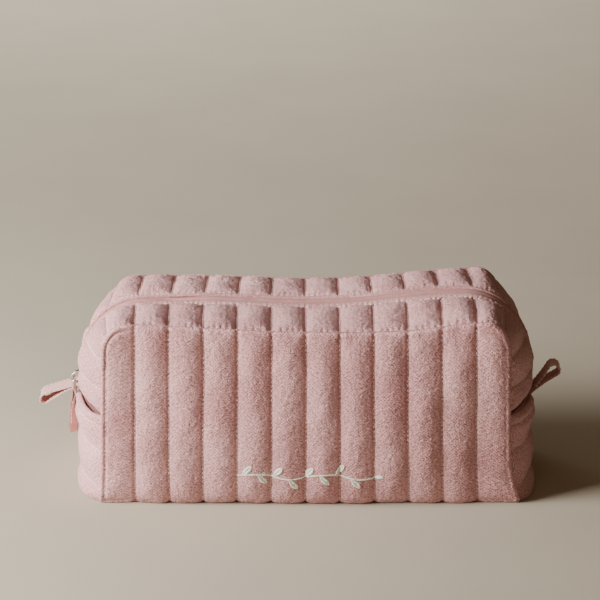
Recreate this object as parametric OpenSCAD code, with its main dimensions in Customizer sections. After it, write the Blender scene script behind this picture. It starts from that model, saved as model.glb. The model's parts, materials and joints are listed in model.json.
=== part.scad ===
// Boxed quilted pouch: two channel-quilted panels joined by a gusset, with a zip
// that runs over the top and down both ends. All sizes in mm, +Z up, bag on Z = 0.

/* [Quilting] */
// Width of one quilted channel
channel_w = 20; // [16:1:26]
// Number of channels across a panel
channel_count = 12; // [8:2:16]
// Height a channel puffs out past its stitch lines
puff = 2.6; // [1:0.2:4]

/* [Body] */
// Height of the front and back panels
panel_h = 108; // [90:1:140]
// Top corner radius of the panels
panel_r = 15; // [10:1:30]
// Depth of the gusset, seam to seam
gusset_d = 91; // [70:1:120]
// Distance each end bows out past the panels
end_bow = 16.5; // [8:0.5:22]
// Rise of the top between the two panels
crown = 4; // [2:0.5:8]
// Radius of the bottom edge at each end
foot_r = 9; // [5:1:14]
// Height of the seam across each end
end_seam_h = 54; // [40:1:60]

/* [Mouth and zip] */
// Half the length of top that opens
mouth_half = 80; // [60:20:80]
// Radius of the zip's path round each top corner
zip_r = 42; // [36:1:46]
// Half the gap between the cloth edges beside the zip
zip_gap = 6.5; // [5:0.5:9]
// Half the space between the tape edges where the slider runs
slider_lane = 0.9; // [0.8:0.1:1.4]
// Angle of the slider below the zip's arc centre at rest
slider_rest = 12; // [8:1:18]

/* [Slider and pull] */
// Length of the slider
slider_l = 11; // [8:1:14]
// Half width of the slider
slider_half = 4.6; // [3.5:0.1:5.5]
// Wire radius of the pull ring
wire_r = 0.62; // [0.5:0.01:0.8]
// Distance between the pull ring's two bars
ring_l = 7; // [5:0.5:10]
// Width of the pull strap
strap_w = 6; // [4:0.5:8]
// Length of the pull strap
strap_l = 28; // [20:1:40]

/* [End loops] */
// Length of an end loop from seam to tip
loop_l = 22; // [16:1:30]
// Width of the loop tape
loop_w = 11; // [8:1:16]
// Half height of the loop at its widest
loop_half = 4.1; // [3.6:0.1:6]
// Thickness of the loop tape
loop_t = 1.0; // [0.8:0.1:1.6]
// Upward angle of the left loop
left_loop_angle = -13; // [-40:1:40]
// Upward angle of the right loop
right_loop_angle = 46; // [-40:1:50]
// Sideways place of the left loop, beside the zip end
left_loop_y = 10.5; // [10:0.5:20]

/* [Hidden] */
$fn = 64;
gap = 0.3;
half_w = channel_w * channel_count / 2;
half_d = gusset_d / 2;
panel_plane = half_d + 0.1;
top_z = panel_h + crown;
face_t = 1.9;
wad_in = 2.0;
wad_out = 4.0;
lin_in = 4.1;
lin_out = 4.7;
bind_in = 5.1;
bind_out = 6.5;
clear_lip = 0.4;
zip_cx = half_w + end_bow + 0.4 - zip_r;
zip_cz = top_z + 0.4 - zip_r;
bow_r = (half_d * half_d + end_bow * end_bow) / (2 * end_bow);
crown_r = (half_d * half_d + crown * crown) / (2 * crown);
barrel_rise = zip_r - panel_r + 3;
barrel_r = (half_d * half_d + barrel_rise * barrel_rise) / (2 * barrel_rise);
tape_r1 = zip_r - 3.4;
tape_r2 = zip_r - 2.8;
coil_r1 = zip_r - 5.0;
coil_r2 = zip_r - 3.5;
tape_edge = 7.9;
coil_edge = 2.9;
lug_r = zip_r + 3.5;
big = 400;

// ---- shared shapes ----

// Rounded outline of a panel in X and Z, drawn in from its edge by inset
module panel_outline(inset) {
    r = panel_r - inset;
    foot = 4;
    union() {
        translate([-(half_w - panel_r), inset])
            square([2 * (half_w - panel_r), panel_h - 2 * inset]);
        translate([-(half_w - inset), foot + inset])
            square([2 * (half_w - inset), panel_h - panel_r - foot - inset]);
        translate([-(half_w - foot - inset), inset])
            square([2 * (half_w - foot - inset), foot + 1]);
        for (s = [-1, 1]) {
            translate([s * (half_w - panel_r), panel_h - panel_r]) circle(r);
            translate([s * (half_w - foot - inset), foot + inset]) circle(foot);
        }
    }
}

// Panel-shaped block standing in front of the front seam plane
module panel_block(inset, from_d, to_d) {
    translate([0, -panel_plane - from_d, 0])
        rotate([90, 0, 0])
            linear_extrude(to_d - from_d) panel_outline(inset);
}

// Channel puffs along X, with their stitch lines at depth valley
module quilt_profile(base, valley) {
    r = (channel_w * channel_w / 4 + puff * puff) / (2 * puff);
    union() {
        translate([-half_w - 1, -valley]) square([2 * half_w + 2, valley - base]);
        for (i = [0 : channel_count - 1])
            intersection() {
                translate([-half_w + (i + 0.5) * channel_w, -valley - puff + r]) circle(r);
                translate([-half_w + i * channel_w, -valley - puff - 1])
                    square([channel_w, puff + 1 + (valley - base) / 2]);
            }
    }
}

// The same puffs as an upright block against the front seam plane
module quilt_block(base, valley) {
    translate([0, -panel_plane, -5])
        linear_extrude(panel_h + 10) quilt_profile(base, valley);
}

// Side view of the gusset: round top corners, pinched at the end seams
module gusset_outline(t) {
    r = zip_r - t;
    top = top_z + 0.4 - t;
    w = zip_cx + zip_r - t;
    union() {
        translate([-zip_cx, t]) square([2 * zip_cx, top - t]);
        translate([-w, t + foot_r]) square([2 * w, end_seam_h - foot_r - t]);
        translate([-(w - foot_r), t]) square([2 * (w - foot_r), foot_r + 1]);
        for (s = [-1, 1]) {
            translate([s * zip_cx, zip_cz]) circle(r);
            translate([s * (w - foot_r), t + foot_r]) circle(foot_r);
        }
    }
}

// Barrel that rounds the panel corners and opens out to the zip's path
module corner_barrel(t) {
    rotate([90, 0, 0])
        rotate_extrude()
            intersection() {
                translate([panel_r + barrel_rise - barrel_r, 0]) circle(barrel_r - t);
                translate([0, -half_d - 20]) square([barrel_r + 50, 2 * half_d + 40]);
            }
}

// The whole bag's outer form drawn in by t, cut off at |Y| = reach
module bag_form(t, reach) {
    intersection() {
        translate([0, reach, 0])
            rotate([90, 0, 0])
                linear_extrude(2 * reach) gusset_outline(t);
        translate([0, 0, -10])
            linear_extrude(top_z + 30)
                union() {
                    square([2 * (half_w + end_bow - bow_r), 2 * bow_r - 2 * t - 2], center = true);
                    for (s = [-1, 1])
                        translate([s * (half_w + end_bow - bow_r), 0]) circle(bow_r - t);
                }
        translate([-big / 2, 0, 0])
            rotate([90, 0, 90])
                linear_extrude(big)
                    intersection() {
                        translate([0, top_z - crown_r]) circle(crown_r - t, $fn = 360);
                        translate([-half_d - 15, -1]) square([2 * half_d + 30, top_z + 10]);
                    }
        union() {
            translate([-(half_w - panel_r), -100, -1])
                cube([2 * (half_w - panel_r), 200, top_z + 20]);
            translate([-big / 2, -100, -1]) cube([big, 200, panel_h - panel_r + 1]);
            for (s = [-1, 1])
                translate([s * (half_w - panel_r), 0, panel_h - panel_r]) corner_barrel(t);
        }
    }
}

// One layer of the gusset between insets t1 and t2
module gusset_layer(t1, t2, reach) {
    difference() {
        bag_form(t1, reach);
        bag_form(t2, reach + 2);
    }
}

// Room that a loop's folded end needs in the seam
module loop_room(side, y) {
    translate([side * (half_w + end_bow), y, end_seam_h + 0.2])
        rotate([90, 0, 0]) cylinder(r = 2, h = loop_w + 1.2, center = true);
}

// Region of the gusset below the end seams
module below_seam() {
    translate([-big / 2, -100, -1]) cube([big, 200, end_seam_h + 1]);
}

// Region of the left end above its seam and in front of the zip, from |Y| = edge
module left_upper(edge) {
    translate([-big, -100, end_seam_h + clear_lip])
        cube([big - mouth_half - 0.2, 100 - edge, 200]);
}

// Region of the front half of the mouth, from |Y| = edge to |Y| = back
module mouth_region(edge, back) {
    translate([-mouth_half + 0.2, -back, panel_h - 20])
        cube([2 * mouth_half - 0.4, back - edge, 60]);
}

// Layer of the left end in front of the zip
module left_end_layer(t1, t2, edge, reach) {
    intersection() {
        gusset_layer(t1, t2, reach);
        left_upper(edge);
    }
}

// Curved strip beside the zip on the left end, between radii r1 and r2
module left_arc(r1, r2, y1, y2) {
    intersection() {
        union() {
            translate([-zip_cx, -y1, zip_cz])
                rotate([90, 0, 0])
                    difference() {
                        cylinder(r = r2, h = y2 - y1, $fn = 96);
                        translate([0, 0, -1]) cylinder(r = r1, h = y2 - y1 + 2, $fn = 96);
                    }
        }
        union() {
            translate([-zip_cx - 60, -20, end_seam_h + clear_lip + 0.2])
                cube([60, 40, 80]);
        }
    }
    translate([-zip_cx, -y2, zip_cz + r1])
        cube([zip_cx - mouth_half - 0.2, y2 - y1, r2 - r1]);
}

// Place children at an angle on the left zip arc: -X out of the bag, +Z up the zip
module on_left_arc(phi) {
    translate([-zip_cx, 0, zip_cz]) rotate([0, phi, 0]) translate([-zip_r, 0, 0]) children();
}

// Arc shell round the left zip centre, wide in Y
module arc_shell(r1, r2, half) {
    translate([-zip_cx, half, zip_cz])
        rotate([90, 0, 0])
            difference() {
                cylinder(r = r2, h = 2 * half, $fn = 96);
                translate([0, 0, -1]) cylinder(r = r1, h = 2 * half + 2, $fn = 96);
            }
}

// Stitch grooves across the front flap
module flap_grooves() {
    rise = crown * 0.98;
    run = half_d - zip_gap;
    for (i = [-3 : 3])
        translate([i * channel_w, -half_d - 3, panel_h + 4 - 0.8 - 3 * rise / run])
            rotate([-90 + atan(rise / run), 0, 0]) cylinder(r = 4, h = half_d + 6);
}

// ---- front and back panels ----

module front_panel() {
    color([0.79, 0.62, 0.59])
        intersection() {
            panel_block(0.2, -1, 8);
            difference() {
                quilt_block(-0.5, 1.8);
                quilt_block(-5, 0.6);
            }
        }
}

module front_wadding() {
    color([0.95, 0.94, 0.91])
        intersection() {
            panel_block(1, -1, 8);
            quilt_block(0, 0.5);
        }
}

module front_lining() {
    color([0.88, 0.76, 0.72]) panel_block(6, -0.7, -0.1);
}

module back_panel() { mirror([0, 1, 0]) front_panel(); }
module back_wadding() { mirror([0, 1, 0]) front_wadding(); }
module back_lining() { mirror([0, 1, 0]) front_lining(); }

// ---- lower gusset ----

module bottom_gusset() {
    color([0.78, 0.61, 0.58])
        difference() {
            intersection() {
                gusset_layer(0, face_t, half_d);
                below_seam();
            }
            loop_room(-1, left_loop_y);
            loop_room(1, 0);
        }
}

module bottom_wadding() {
    color([0.95, 0.94, 0.91])
        intersection() {
            gusset_layer(wad_in, wad_out, half_d - 0.9);
            below_seam();
        }
}

module bottom_lining() {
    color([0.88, 0.76, 0.72])
        intersection() {
            gusset_layer(lin_in, lin_out, half_d - 0.8);
            below_seam();
        }
}

// ---- zip strips on the two ends ----

module left_end_front() {
    color([0.80, 0.63, 0.60]) left_end_layer(0, face_t, zip_gap, half_d);
}

module left_end_front_wadding() {
    color([0.95, 0.94, 0.91])
        left_end_layer(wad_in, wad_out, tape_edge + gap, half_d - 0.9);
}

module left_end_front_lining() {
    color([0.88, 0.76, 0.72]) left_end_layer(lin_in, lin_out, tape_edge + gap, half_d - 0.8);
}

module left_end_back() {
    difference() {
        mirror([0, 1, 0]) left_end_front();
        loop_room(-1, left_loop_y);
    }
}

module left_end_back_wadding() { mirror([0, 1, 0]) left_end_front_wadding(); }
module left_end_back_lining() { mirror([0, 1, 0]) left_end_front_lining(); }

module right_end_front() {
    difference() {
        mirror([1, 0, 0]) left_end_front();
        loop_room(1, 0);
    }
}

module right_end_front_wadding() { mirror([1, 0, 0]) left_end_front_wadding(); }
module right_end_front_lining() { mirror([1, 0, 0]) left_end_front_lining(); }
module right_end_back() { mirror([0, 1, 0]) right_end_front(); }
module right_end_back_wadding() { mirror([0, 1, 0]) right_end_front_wadding(); }
module right_end_back_lining() { mirror([0, 1, 0]) right_end_front_lining(); }

// ---- the two halves of the top that open ----

module front_flap() {
    color([0.80, 0.63, 0.60])
        difference() {
            intersection() {
                gusset_layer(0, face_t, half_d);
                mouth_region(zip_gap, half_d - gap);
            }
            flap_grooves();
        }
}

module front_flap_wadding() {
    color([0.95, 0.94, 0.91])
        intersection() {
            gusset_layer(wad_in, wad_out, half_d);
            mouth_region(tape_edge + gap, half_d - 0.5);
        }
}

module front_flap_lining() {
    color([0.88, 0.76, 0.72])
        intersection() {
            gusset_layer(lin_in, lin_out, half_d);
            mouth_region(tape_edge + gap, half_d - 0.5);
        }
}

module back_flap() { mirror([0, 1, 0]) front_flap(); }
module back_flap_wadding() { mirror([0, 1, 0]) front_flap_wadding(); }
module back_flap_lining() { mirror([0, 1, 0]) front_flap_lining(); }

// ---- zip ----

module front_tape() {
    color([0.72, 0.52, 0.50])
        translate([-mouth_half + 0.2, -tape_edge, zip_cz + tape_r1])
            cube([2 * mouth_half - 0.4, tape_edge - 0.2, tape_r2 - tape_r1]);
}

module front_coil() {
    color([0.66, 0.45, 0.43])
        translate([-mouth_half + 0.2, -coil_edge, zip_cz + coil_r1])
            cube([2 * mouth_half - 0.4, coil_edge - 0.2, coil_r2 - coil_r1]);
}

module back_tape() { mirror([0, 1, 0]) front_tape(); }
module back_coil() { mirror([0, 1, 0]) front_coil(); }

module left_front_tape() {
    color([0.72, 0.52, 0.50]) left_arc(tape_r1, tape_r2, slider_lane, tape_edge);
}

module left_front_coil() {
    color([0.66, 0.45, 0.43]) left_arc(coil_r1, coil_r2, slider_lane, coil_edge);
}

module left_back_tape() { mirror([0, 1, 0]) left_front_tape(); }
module left_back_coil() { mirror([0, 1, 0]) left_front_coil(); }

module right_front_tape() {
    color([0.72, 0.52, 0.50]) mirror([1, 0, 0]) left_arc(tape_r1, tape_r2, 0.2, tape_edge);
}

module right_front_coil() {
    color([0.66, 0.45, 0.43]) mirror([1, 0, 0]) left_arc(coil_r1, coil_r2, 0.2, coil_edge);
}

module right_back_tape() { mirror([0, 1, 0]) right_front_tape(); }
module right_back_coil() { mirror([0, 1, 0]) right_front_coil(); }

// ---- slider, ring and strap ----

module zip_slider() {
    color([0.75, 0.75, 0.76])
        difference() {
            union() {
                intersection() {
                    union() {
                        arc_shell(zip_r - 2.4, zip_r - 1.0, slider_half);
                        arc_shell(zip_r - 6.8, zip_r - 5.5, slider_half);
                        for (s = [-1, 1])
                            translate([0, s * (slider_half - 0.5), 0])
                                arc_shell(zip_r - 6.0, zip_r - 3.8, 0.5);
                    }
                    on_left_arc(-slider_rest)
                        translate([-2, -10, -slider_l / 2]) cube([14, 20, slider_l]);
                }
                on_left_arc(-slider_rest) {
                    translate([1.6, -0.5, -slider_l / 2 + 0.6]) cube([4.5, 1, 3.5]);
                    translate([-3.5, -1.4, -2.2]) cube([5.6, 2.8, 4.4]);
                    translate([-3.5, 0, 0])
                        rotate([90, 0, 0]) cylinder(r = 2.2, h = 2.8, center = true);
                }
            }
            on_left_arc(-slider_rest)
                translate([-3.5, 0, 0])
                    rotate([90, 0, 0]) cylinder(r = wire_r + 0.08, h = 10, center = true);
        }
}

// Centre of the slider's lug at rest
lug_x = -zip_cx - lug_r * cos(slider_rest);
lug_z = zip_cz - lug_r * sin(slider_rest);

module pull_ring() {
    side = strap_w / 2 + 0.2 + wire_r;
    color([0.78, 0.78, 0.79])
        translate([lug_x, 0, lug_z])
            union() {
                for (z = [0, -ring_l]) {
                    translate([0, 0, z])
                        rotate([90, 0, 0]) cylinder(r = wire_r, h = 2 * side, center = true);
                    for (s = [-1, 1]) translate([0, s * side, z]) sphere(wire_r);
                }
                for (s = [-1, 1])
                    translate([0, s * side, -ring_l]) cylinder(r = wire_r, h = ring_l);
            }
}

module pull_strap() {
    color([0.76, 0.58, 0.55])
        translate([lug_x, 0, lug_z - ring_l])
            difference() {
                union() {
                    rotate([90, 0, 0])
                        cylinder(r = wire_r + 0.88, h = strap_w, center = true);
                    translate([-0.8, -strap_w / 2, -strap_l])
                        cube([1.6, strap_w, strap_l]);
                }
                rotate([90, 0, 0])
                    cylinder(r = wire_r + 0.08, h = strap_w + 2, center = true);
            }
}

// ---- end loops ----

// Folded tape loop along +X from its seam, with an eye through it
module loop_shape() {
    root = 1.2;
    c = loop_l - loop_half;
    rotate([90, 0, 0])
        translate([0, 0, -loop_w / 2])
            linear_extrude(loop_w)
                difference() {
                    union() {
                        circle(root);
                        polygon([[0, -root], [c, -loop_half + 0.1], [c, loop_half - 0.1], [0, root]]);
                        translate([c, 0]) circle(loop_half);
                    }
                    union() {
                        polygon([
                            [3.4, 0], [c, -loop_half + loop_t + 0.1], [c, loop_half - loop_t - 0.1]
                        ]);
                        translate([c, 0]) circle(loop_half - loop_t);
                    }
                }
}

module left_loop() {
    color([0.77, 0.59, 0.56])
        translate([-half_w - end_bow, left_loop_y, end_seam_h + 0.2])
            mirror([1, 0, 0])
                rotate([0, -left_loop_angle, 0]) loop_shape();
}

module right_loop() {
    color([0.77, 0.59, 0.56])
        translate([half_w + end_bow, 0, end_seam_h + 0.2])
            rotate([0, -right_loop_angle, 0]) loop_shape();
}

// ---- inner seam bindings ----

module front_binding() {
    color([0.90, 0.82, 0.78])
        difference() {
            intersection() {
                gusset_layer(bind_in, bind_out, half_d);
                translate([-big / 2, -half_d + 0.9, -1]) cube([big, 6.6, 200]);
            }
        }
}

module back_binding() { mirror([0, 1, 0]) front_binding(); }

module left_seam_binding() {
    color([0.90, 0.82, 0.78])
        intersection() {
            gusset_layer(bind_in, bind_out, half_d);
            translate([-big, -half_d + 7.8, end_seam_h - 4.5])
                cube([big, 2 * half_d - 15.6, 6]);
        }
}

module right_seam_binding() { mirror([1, 0, 0]) left_seam_binding(); }

// ---- stitched sprig on the front ----

// Leaf with two pointed ends, lying along +X
module leaf(l, w) {
    r = (l * l / 4 + w * w / 4) / w;
    translate([l / 2, 0])
        intersection() {
            translate([0, r - w / 2]) circle(r);
            translate([0, -(r - w / 2)]) circle(r);
        }
}

// Gentle arch of stem, chord wave_w, drawn up or down
module stem_arch(w, rise, t) {
    r = (w * w / 4 + rise * rise) / (2 * rise);
    intersection() {
        translate([0, rise - r])
            difference() {
                circle(r + t / 2);
                circle(r - t / 2);
            }
        translate([-w / 2 - 0.05, -t]) square([w + 0.1, rise + 2 * t]);
    }
}

module sprig_outline() {
    wave = 21;
    for (i = [0 : 3])
        translate([-31.5 + i * wave, 0])
            mirror([0, i % 2]) stem_arch(wave, 1.8, 0.9);
    for (i = [0 : 8])
        translate([-36 + i * 9, i % 2 == 0 ? 0.4 : -0.4])
            rotate([0, 0, i % 2 == 0 ? 48 : -48]) leaf(7.4, 2.6);
    translate([40.5, 0]) leaf(5, 2.2);
}

module motif() {
    color([0.87, 0.86, 0.76])
        intersection() {
            translate([0, -panel_plane - 1, 19.5])
                rotate([90, 0, 0]) linear_extrude(8) sprig_outline();
            difference() {
                quilt_block(-0.5, 2.3);
                quilt_block(-5, 1.85);
            }
        }
}

front_panel();
front_wadding();
front_lining();
back_panel();
back_wadding();
back_lining();
bottom_gusset();
bottom_wadding();
bottom_lining();
left_end_front();
left_end_front_wadding();
left_end_front_lining();
left_end_back();
left_end_back_wadding();
left_end_back_lining();
right_end_front();
right_end_front_wadding();
right_end_front_lining();
right_end_back();
right_end_back_wadding();
right_end_back_lining();
front_flap();
front_flap_wadding();
front_flap_lining();
back_flap();
back_flap_wadding();
back_flap_lining();
front_tape();
back_tape();
front_coil();
back_coil();
left_front_tape();
left_back_tape();
left_front_coil();
left_back_coil();
right_front_tape();
right_back_tape();
right_front_coil();
right_back_coil();
zip_slider();
pull_ring();
pull_strap();
left_loop();
right_loop();
front_binding();
back_binding();
left_seam_binding();
right_seam_binding();
motif();
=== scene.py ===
import json
import math

import bmesh
import bpy
import numpy as np
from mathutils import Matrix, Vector


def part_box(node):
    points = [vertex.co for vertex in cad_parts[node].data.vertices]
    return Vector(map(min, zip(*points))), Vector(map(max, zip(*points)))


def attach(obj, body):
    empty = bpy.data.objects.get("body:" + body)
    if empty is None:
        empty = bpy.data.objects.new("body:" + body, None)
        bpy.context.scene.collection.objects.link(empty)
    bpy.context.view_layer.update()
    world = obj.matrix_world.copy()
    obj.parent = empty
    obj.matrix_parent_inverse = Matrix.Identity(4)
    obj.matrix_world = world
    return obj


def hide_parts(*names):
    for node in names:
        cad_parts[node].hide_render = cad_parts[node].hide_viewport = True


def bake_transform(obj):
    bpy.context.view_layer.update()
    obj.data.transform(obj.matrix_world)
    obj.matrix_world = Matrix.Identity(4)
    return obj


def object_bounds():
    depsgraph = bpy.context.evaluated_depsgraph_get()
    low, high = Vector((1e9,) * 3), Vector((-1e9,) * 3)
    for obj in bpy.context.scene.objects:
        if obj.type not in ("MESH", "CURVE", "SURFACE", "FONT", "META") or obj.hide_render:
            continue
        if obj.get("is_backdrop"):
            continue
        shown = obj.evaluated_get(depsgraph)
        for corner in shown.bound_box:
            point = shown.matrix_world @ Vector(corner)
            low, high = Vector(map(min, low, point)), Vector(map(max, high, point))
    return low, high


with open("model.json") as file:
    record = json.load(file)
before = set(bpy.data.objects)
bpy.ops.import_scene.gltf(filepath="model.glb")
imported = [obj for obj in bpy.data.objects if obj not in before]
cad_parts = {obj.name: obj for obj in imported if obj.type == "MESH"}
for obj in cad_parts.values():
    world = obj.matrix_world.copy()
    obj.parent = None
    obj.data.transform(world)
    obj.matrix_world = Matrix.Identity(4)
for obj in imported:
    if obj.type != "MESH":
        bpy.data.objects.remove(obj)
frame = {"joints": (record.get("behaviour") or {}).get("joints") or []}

# Boxed quilted zip pouch. Shapes are worked out in millimetres in the CAD frame
# and turned into metres when a mesh is made. PANEL_R rounds the panels' top corners,
# ZIP_EDGE is the strips' distance from the middle of the zip, MOUTH is half the length
# that opens, and STEP is the spacing of the simulated grids. c runs along the zip from
# the middle of the top, d runs from a panel seam towards the zip, side is -1 front, 1 back.

SCALE = 0.001
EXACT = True

# ---- sizes read from the CAD frame ----


def joint_pos(name):
    """Place of a joint in millimetres."""
    found = [j for j in frame["joints"] if j["name"] == name][0]
    return np.array(found["pos_m"]) * 1000.0


panel_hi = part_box("front_panel")[1]
gusset_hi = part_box("bottom_gusset")[1]
tape_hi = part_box("front_tape")[1]
motif_lo, motif_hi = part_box("motif")
HALF_W = panel_hi.x * 1000 + 0.2
PANEL_H = panel_hi.z * 1000 + 0.2
END_X = gusset_hi.x * 1000
HALF_D = gusset_hi.y * 1000
SEAM_Z = gusset_hi.z * 1000
ARC = joint_pos("slider_travel")
ARC_X = abs(ARC[0])
ARC_Z = ARC[2]
ZIP_R = END_X + 0.4 - ARC_X
TAPE_DROP = ZIP_R - (tape_hi.z * 1000 - ARC_Z)
PANEL_R = 15.0
SEAM_Y = HALF_D + 0.4
ZIP_EDGE = 5.6
PITCH = 20
MOUTH = 80.0
STRIP_D = 40.0
ARC_TURN = math.pi / 2 + math.asin((ARC_Z - SEAM_Z) / ZIP_R)
C_END = ARC_X + ZIP_R * ARC_TURN
SEAM_STRAIGHT = HALF_W - PANEL_R
SEAM_TURN = PANEL_R * math.pi / 2
SEAM_LEN = SEAM_STRAIGHT + SEAM_TURN + PANEL_H - PANEL_R - SEAM_Z
STEP = 1.25
FLOOR_HALF = END_X - 9
TURN_LEN = 14.14
RISE_LEN = SEAM_Z - 9
GUSSET_HALF = FLOOR_HALF + TURN_LEN + RISE_LEN
GUSSET_RIM = 186.6
BINDING_END = 185.6
LINING_END = 185.5
LINING_INSET = 7
LINING_DROP = 4.4
CLOTH_THICK = 0.4
QUILT_THICK = 3.3

# ---- the slump of the soft bag ----


def along(x, knots):
    """Smooth curve through (place, value) knots."""
    xs = np.array([k[0] for k in knots], float)
    ys = np.array([k[1] for k in knots], float)
    fine = np.linspace(xs[0], xs[-1], 241)
    value = np.interp(fine, xs, ys)
    kernel = np.hanning(31)
    kernel /= kernel.sum()
    padded = np.concatenate([np.full(15, value[0]), value, np.full(15, value[-1])])
    return np.interp(x, fine, np.convolve(padded, kernel, mode="valid"))


FRONT_RISE = [(-140, 3.0), (-118, 4.4), (-98, 4.8), (-60, 2.8), (-20, 0.2), (30, -0.4),
              (62, 0.8), (84, 4.0), (104, 6.6), (120, 6.6), (140, 5.0)]
ZIP_RISE = [(-140, 0.0), (-100, 0.2), (-60, 0.6), (-20, -1.2), (5, -1.8), (32, -0.6),
            (60, 2.6), (82, 4.6), (104, 4.8), (140, 3.0)]
BACK_RISE = [(-140, 1.5), (-100, 2.6), (-50, 2.2), (0, 0.2), (40, 1.6), (66, 4.6),
             (96, 7.2), (118, 8.8), (140, 8.0)]


SLUMP_FULL = 110.0


def slump(p):
    """Moves points of the exact form to where the soft bag really stands."""
    p = np.array(p, float)
    x, y, z = p[..., 0], p[..., 1], p[..., 2]
    t = np.clip(y / SEAM_Y, -1.1, 1.1)
    front = along(x, FRONT_RISE)
    middle = along(x, ZIP_RISE)
    back = along(x, BACK_RISE)
    rise = front * t * (t - 1) / 2 + middle * (1 - t * t) + back * t * (t + 1) / 2
    up = np.clip(z / SLUMP_FULL, 0, 1.1)
    out = p.copy()
    out[..., 2] = z + rise * up * up
    level = np.clip(z / PANEL_H, 0, 1)
    out[..., 0] = x * (1 + 0.012 * (1 - 2 * level) * (np.abs(t) ** 2))
    low = np.clip(1 - z / 34.0, 0, 1) ** 2 * np.clip(-t, 0, 1) ** 2
    splay = np.where(x > 0, 6.5, 1.2) * np.clip((np.abs(x) - 85) / 35, 0, 1) ** 2
    out[..., 0] += np.sign(x) * splay * low
    return out


# ---- small tools for grids of points ----


def field(shape, grain, seed):
    """Smooth random field from -1 to 1; grain is its size in samples."""
    rng = np.random.default_rng(seed)
    if np.isscalar(grain):
        grain = (grain, grain)
    rows = np.arange(shape[0]) / grain[0]
    cols = np.arange(shape[1]) / grain[1]
    table = rng.uniform(-1, 1, (int(rows[-1]) + 3, int(cols[-1]) + 3))
    i = rows.astype(int)
    j = cols.astype(int)
    fy = rows - i
    fx = cols - j
    fy = (fy * fy * (3 - 2 * fy))[:, None]
    fx = (fx * fx * (3 - 2 * fx))[None, :]
    low = table[i][:, j] * (1 - fx) + table[i][:, j + 1] * fx
    high = table[i + 1][:, j] * (1 - fx) + table[i + 1][:, j + 1] * fx
    return low * (1 - fy) + high * fy


def crepe(shape, seed):
    """Fine grain of crepe cotton: short streaks on both slants."""
    rng = np.random.default_rng(seed)
    streaks = []
    for turn in (1, -1):
        n = rng.normal(0, 1, shape)
        once = np.roll(n, (1, turn), (0, 1))
        twice = np.roll(n, (2, 2 * turn), (0, 1))
        streaks.append(n + 0.8 * once + 0.5 * twice)
    grain = np.maximum(streaks[0], streaks[1])
    return np.clip(grain - grain.mean(), -2.2, 2.2)


def crinkle(shape, seed, size=1.0):
    """Washed cotton: soft lumps parted by small creases, with a fine grain."""
    a = np.abs(field(shape, 5.5, seed)) * 2 - 1
    b = np.abs(field(shape, (3.1, 3.6), seed + 1)) * 2 - 1
    c = np.abs(field(shape, 11.0, seed + 2)) * 2 - 1
    return size * (0.10 * c + 0.06 * a + 0.06 * b + 0.062 * crepe(shape, seed + 3))


def pressed(move, passes=30, keep=0.3):
    """Irons most of the small wrinkles out along the channels, and plumps the rest."""
    m = move.copy()
    for _ in range(passes):
        m[1:-1] = (m[:-2] + 2 * m[1:-1] + m[2:]) / 4
    m = m * (1 - keep) + move * keep
    m[..., 2] *= 1.22
    return m


def refine_rows(a):
    """Doubles the rows of a grid on a smooth curve."""
    first = 2 * a[:1] - a[1:2]
    last = 2 * a[-1:] - a[-2:-1]
    p = np.concatenate([first, a, last])
    mid = (9 * (p[1:-2] + p[2:-1]) - p[:-3] - p[3:]) / 16
    out = np.empty((2 * len(a) - 1,) + a.shape[1:])
    out[0::2] = a
    out[1::2] = mid
    return out


def refine(a):
    """Doubles a grid both ways on a smooth surface."""
    return np.swapaxes(refine_rows(np.swapaxes(refine_rows(a), 0, 1)), 0, 1)


def unit(v):
    """Vectors of length 1 with the same directions."""
    return v / np.maximum(np.linalg.norm(v, axis=-1, keepdims=True), 1e-9)


def normals(p):
    """Unit normal at each point of a grid."""
    return unit(np.cross(np.gradient(p, axis=1), np.gradient(p, axis=0)))


def outward(p, axis, sign):
    """Normals of a grid, turned so that the middle one points to sign along axis."""
    n = normals(p)
    return n if n[n.shape[0] // 2, n.shape[1] // 2, axis] * sign > 0 else -n


def bump(distance, width):
    """Round hill of height 1."""
    return np.exp(-((distance / width) ** 2))


# ---- meshes ----


def new_object(name, points, faces, uv=None):
    """Object from points in millimetres, shaded smooth with sharp rims."""
    mesh = bpy.data.meshes.new(name)
    mesh.from_pydata((np.asarray(points) * SCALE).tolist(), [], faces)
    mesh.validate()
    mesh.update()
    obj = bpy.data.objects.new(name, mesh)
    bpy.context.scene.collection.objects.link(obj)
    bm = bmesh.new()
    bm.from_mesh(mesh)
    bmesh.ops.recalc_face_normals(bm, faces=bm.faces)
    bm.to_mesh(mesh)
    bm.free()
    mesh.polygons.foreach_set("use_smooth", [True] * len(mesh.polygons))
    mesh.set_sharp_from_angle(angle=math.radians(62))
    if uv is not None:
        layer = mesh.uv_layers.new(name="cloth")
        loops = np.empty(len(mesh.loops), int)
        mesh.loops.foreach_get("vertex_index", loops)
        layer.data.foreach_set("uv", (np.asarray(uv)[loops] * SCALE).ravel())
    return obj


def grid_quads(idx):
    """Four-sided faces between the points of a grid of indices."""
    quads = np.stack([idx[:-1, :-1], idx[:-1, 1:], idx[1:, 1:], idx[1:, :-1]], -1)
    return quads.reshape(-1, 4)


def shell_faces(rows, cols):
    """Faces of a closed sheet: one grid, the same grid under it, and the rim."""
    count = rows * cols
    idx = np.arange(count).reshape(rows, cols)
    quads = grid_quads(idx)
    rim = np.concatenate([idx[0], idx[1:, -1], idx[-1, -2::-1], idx[-2:0:-1, 0]])
    nxt = np.roll(rim, -1)
    side = np.stack([rim, rim + count, nxt + count, nxt], -1)
    return quads.tolist() + (quads[:, ::-1] + count).tolist() + side.tolist()


def coarse(count, step):
    """Every step-th index, and always the last."""
    picked = list(range(0, count - 1, step))
    return picked + [count - 1]


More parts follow.
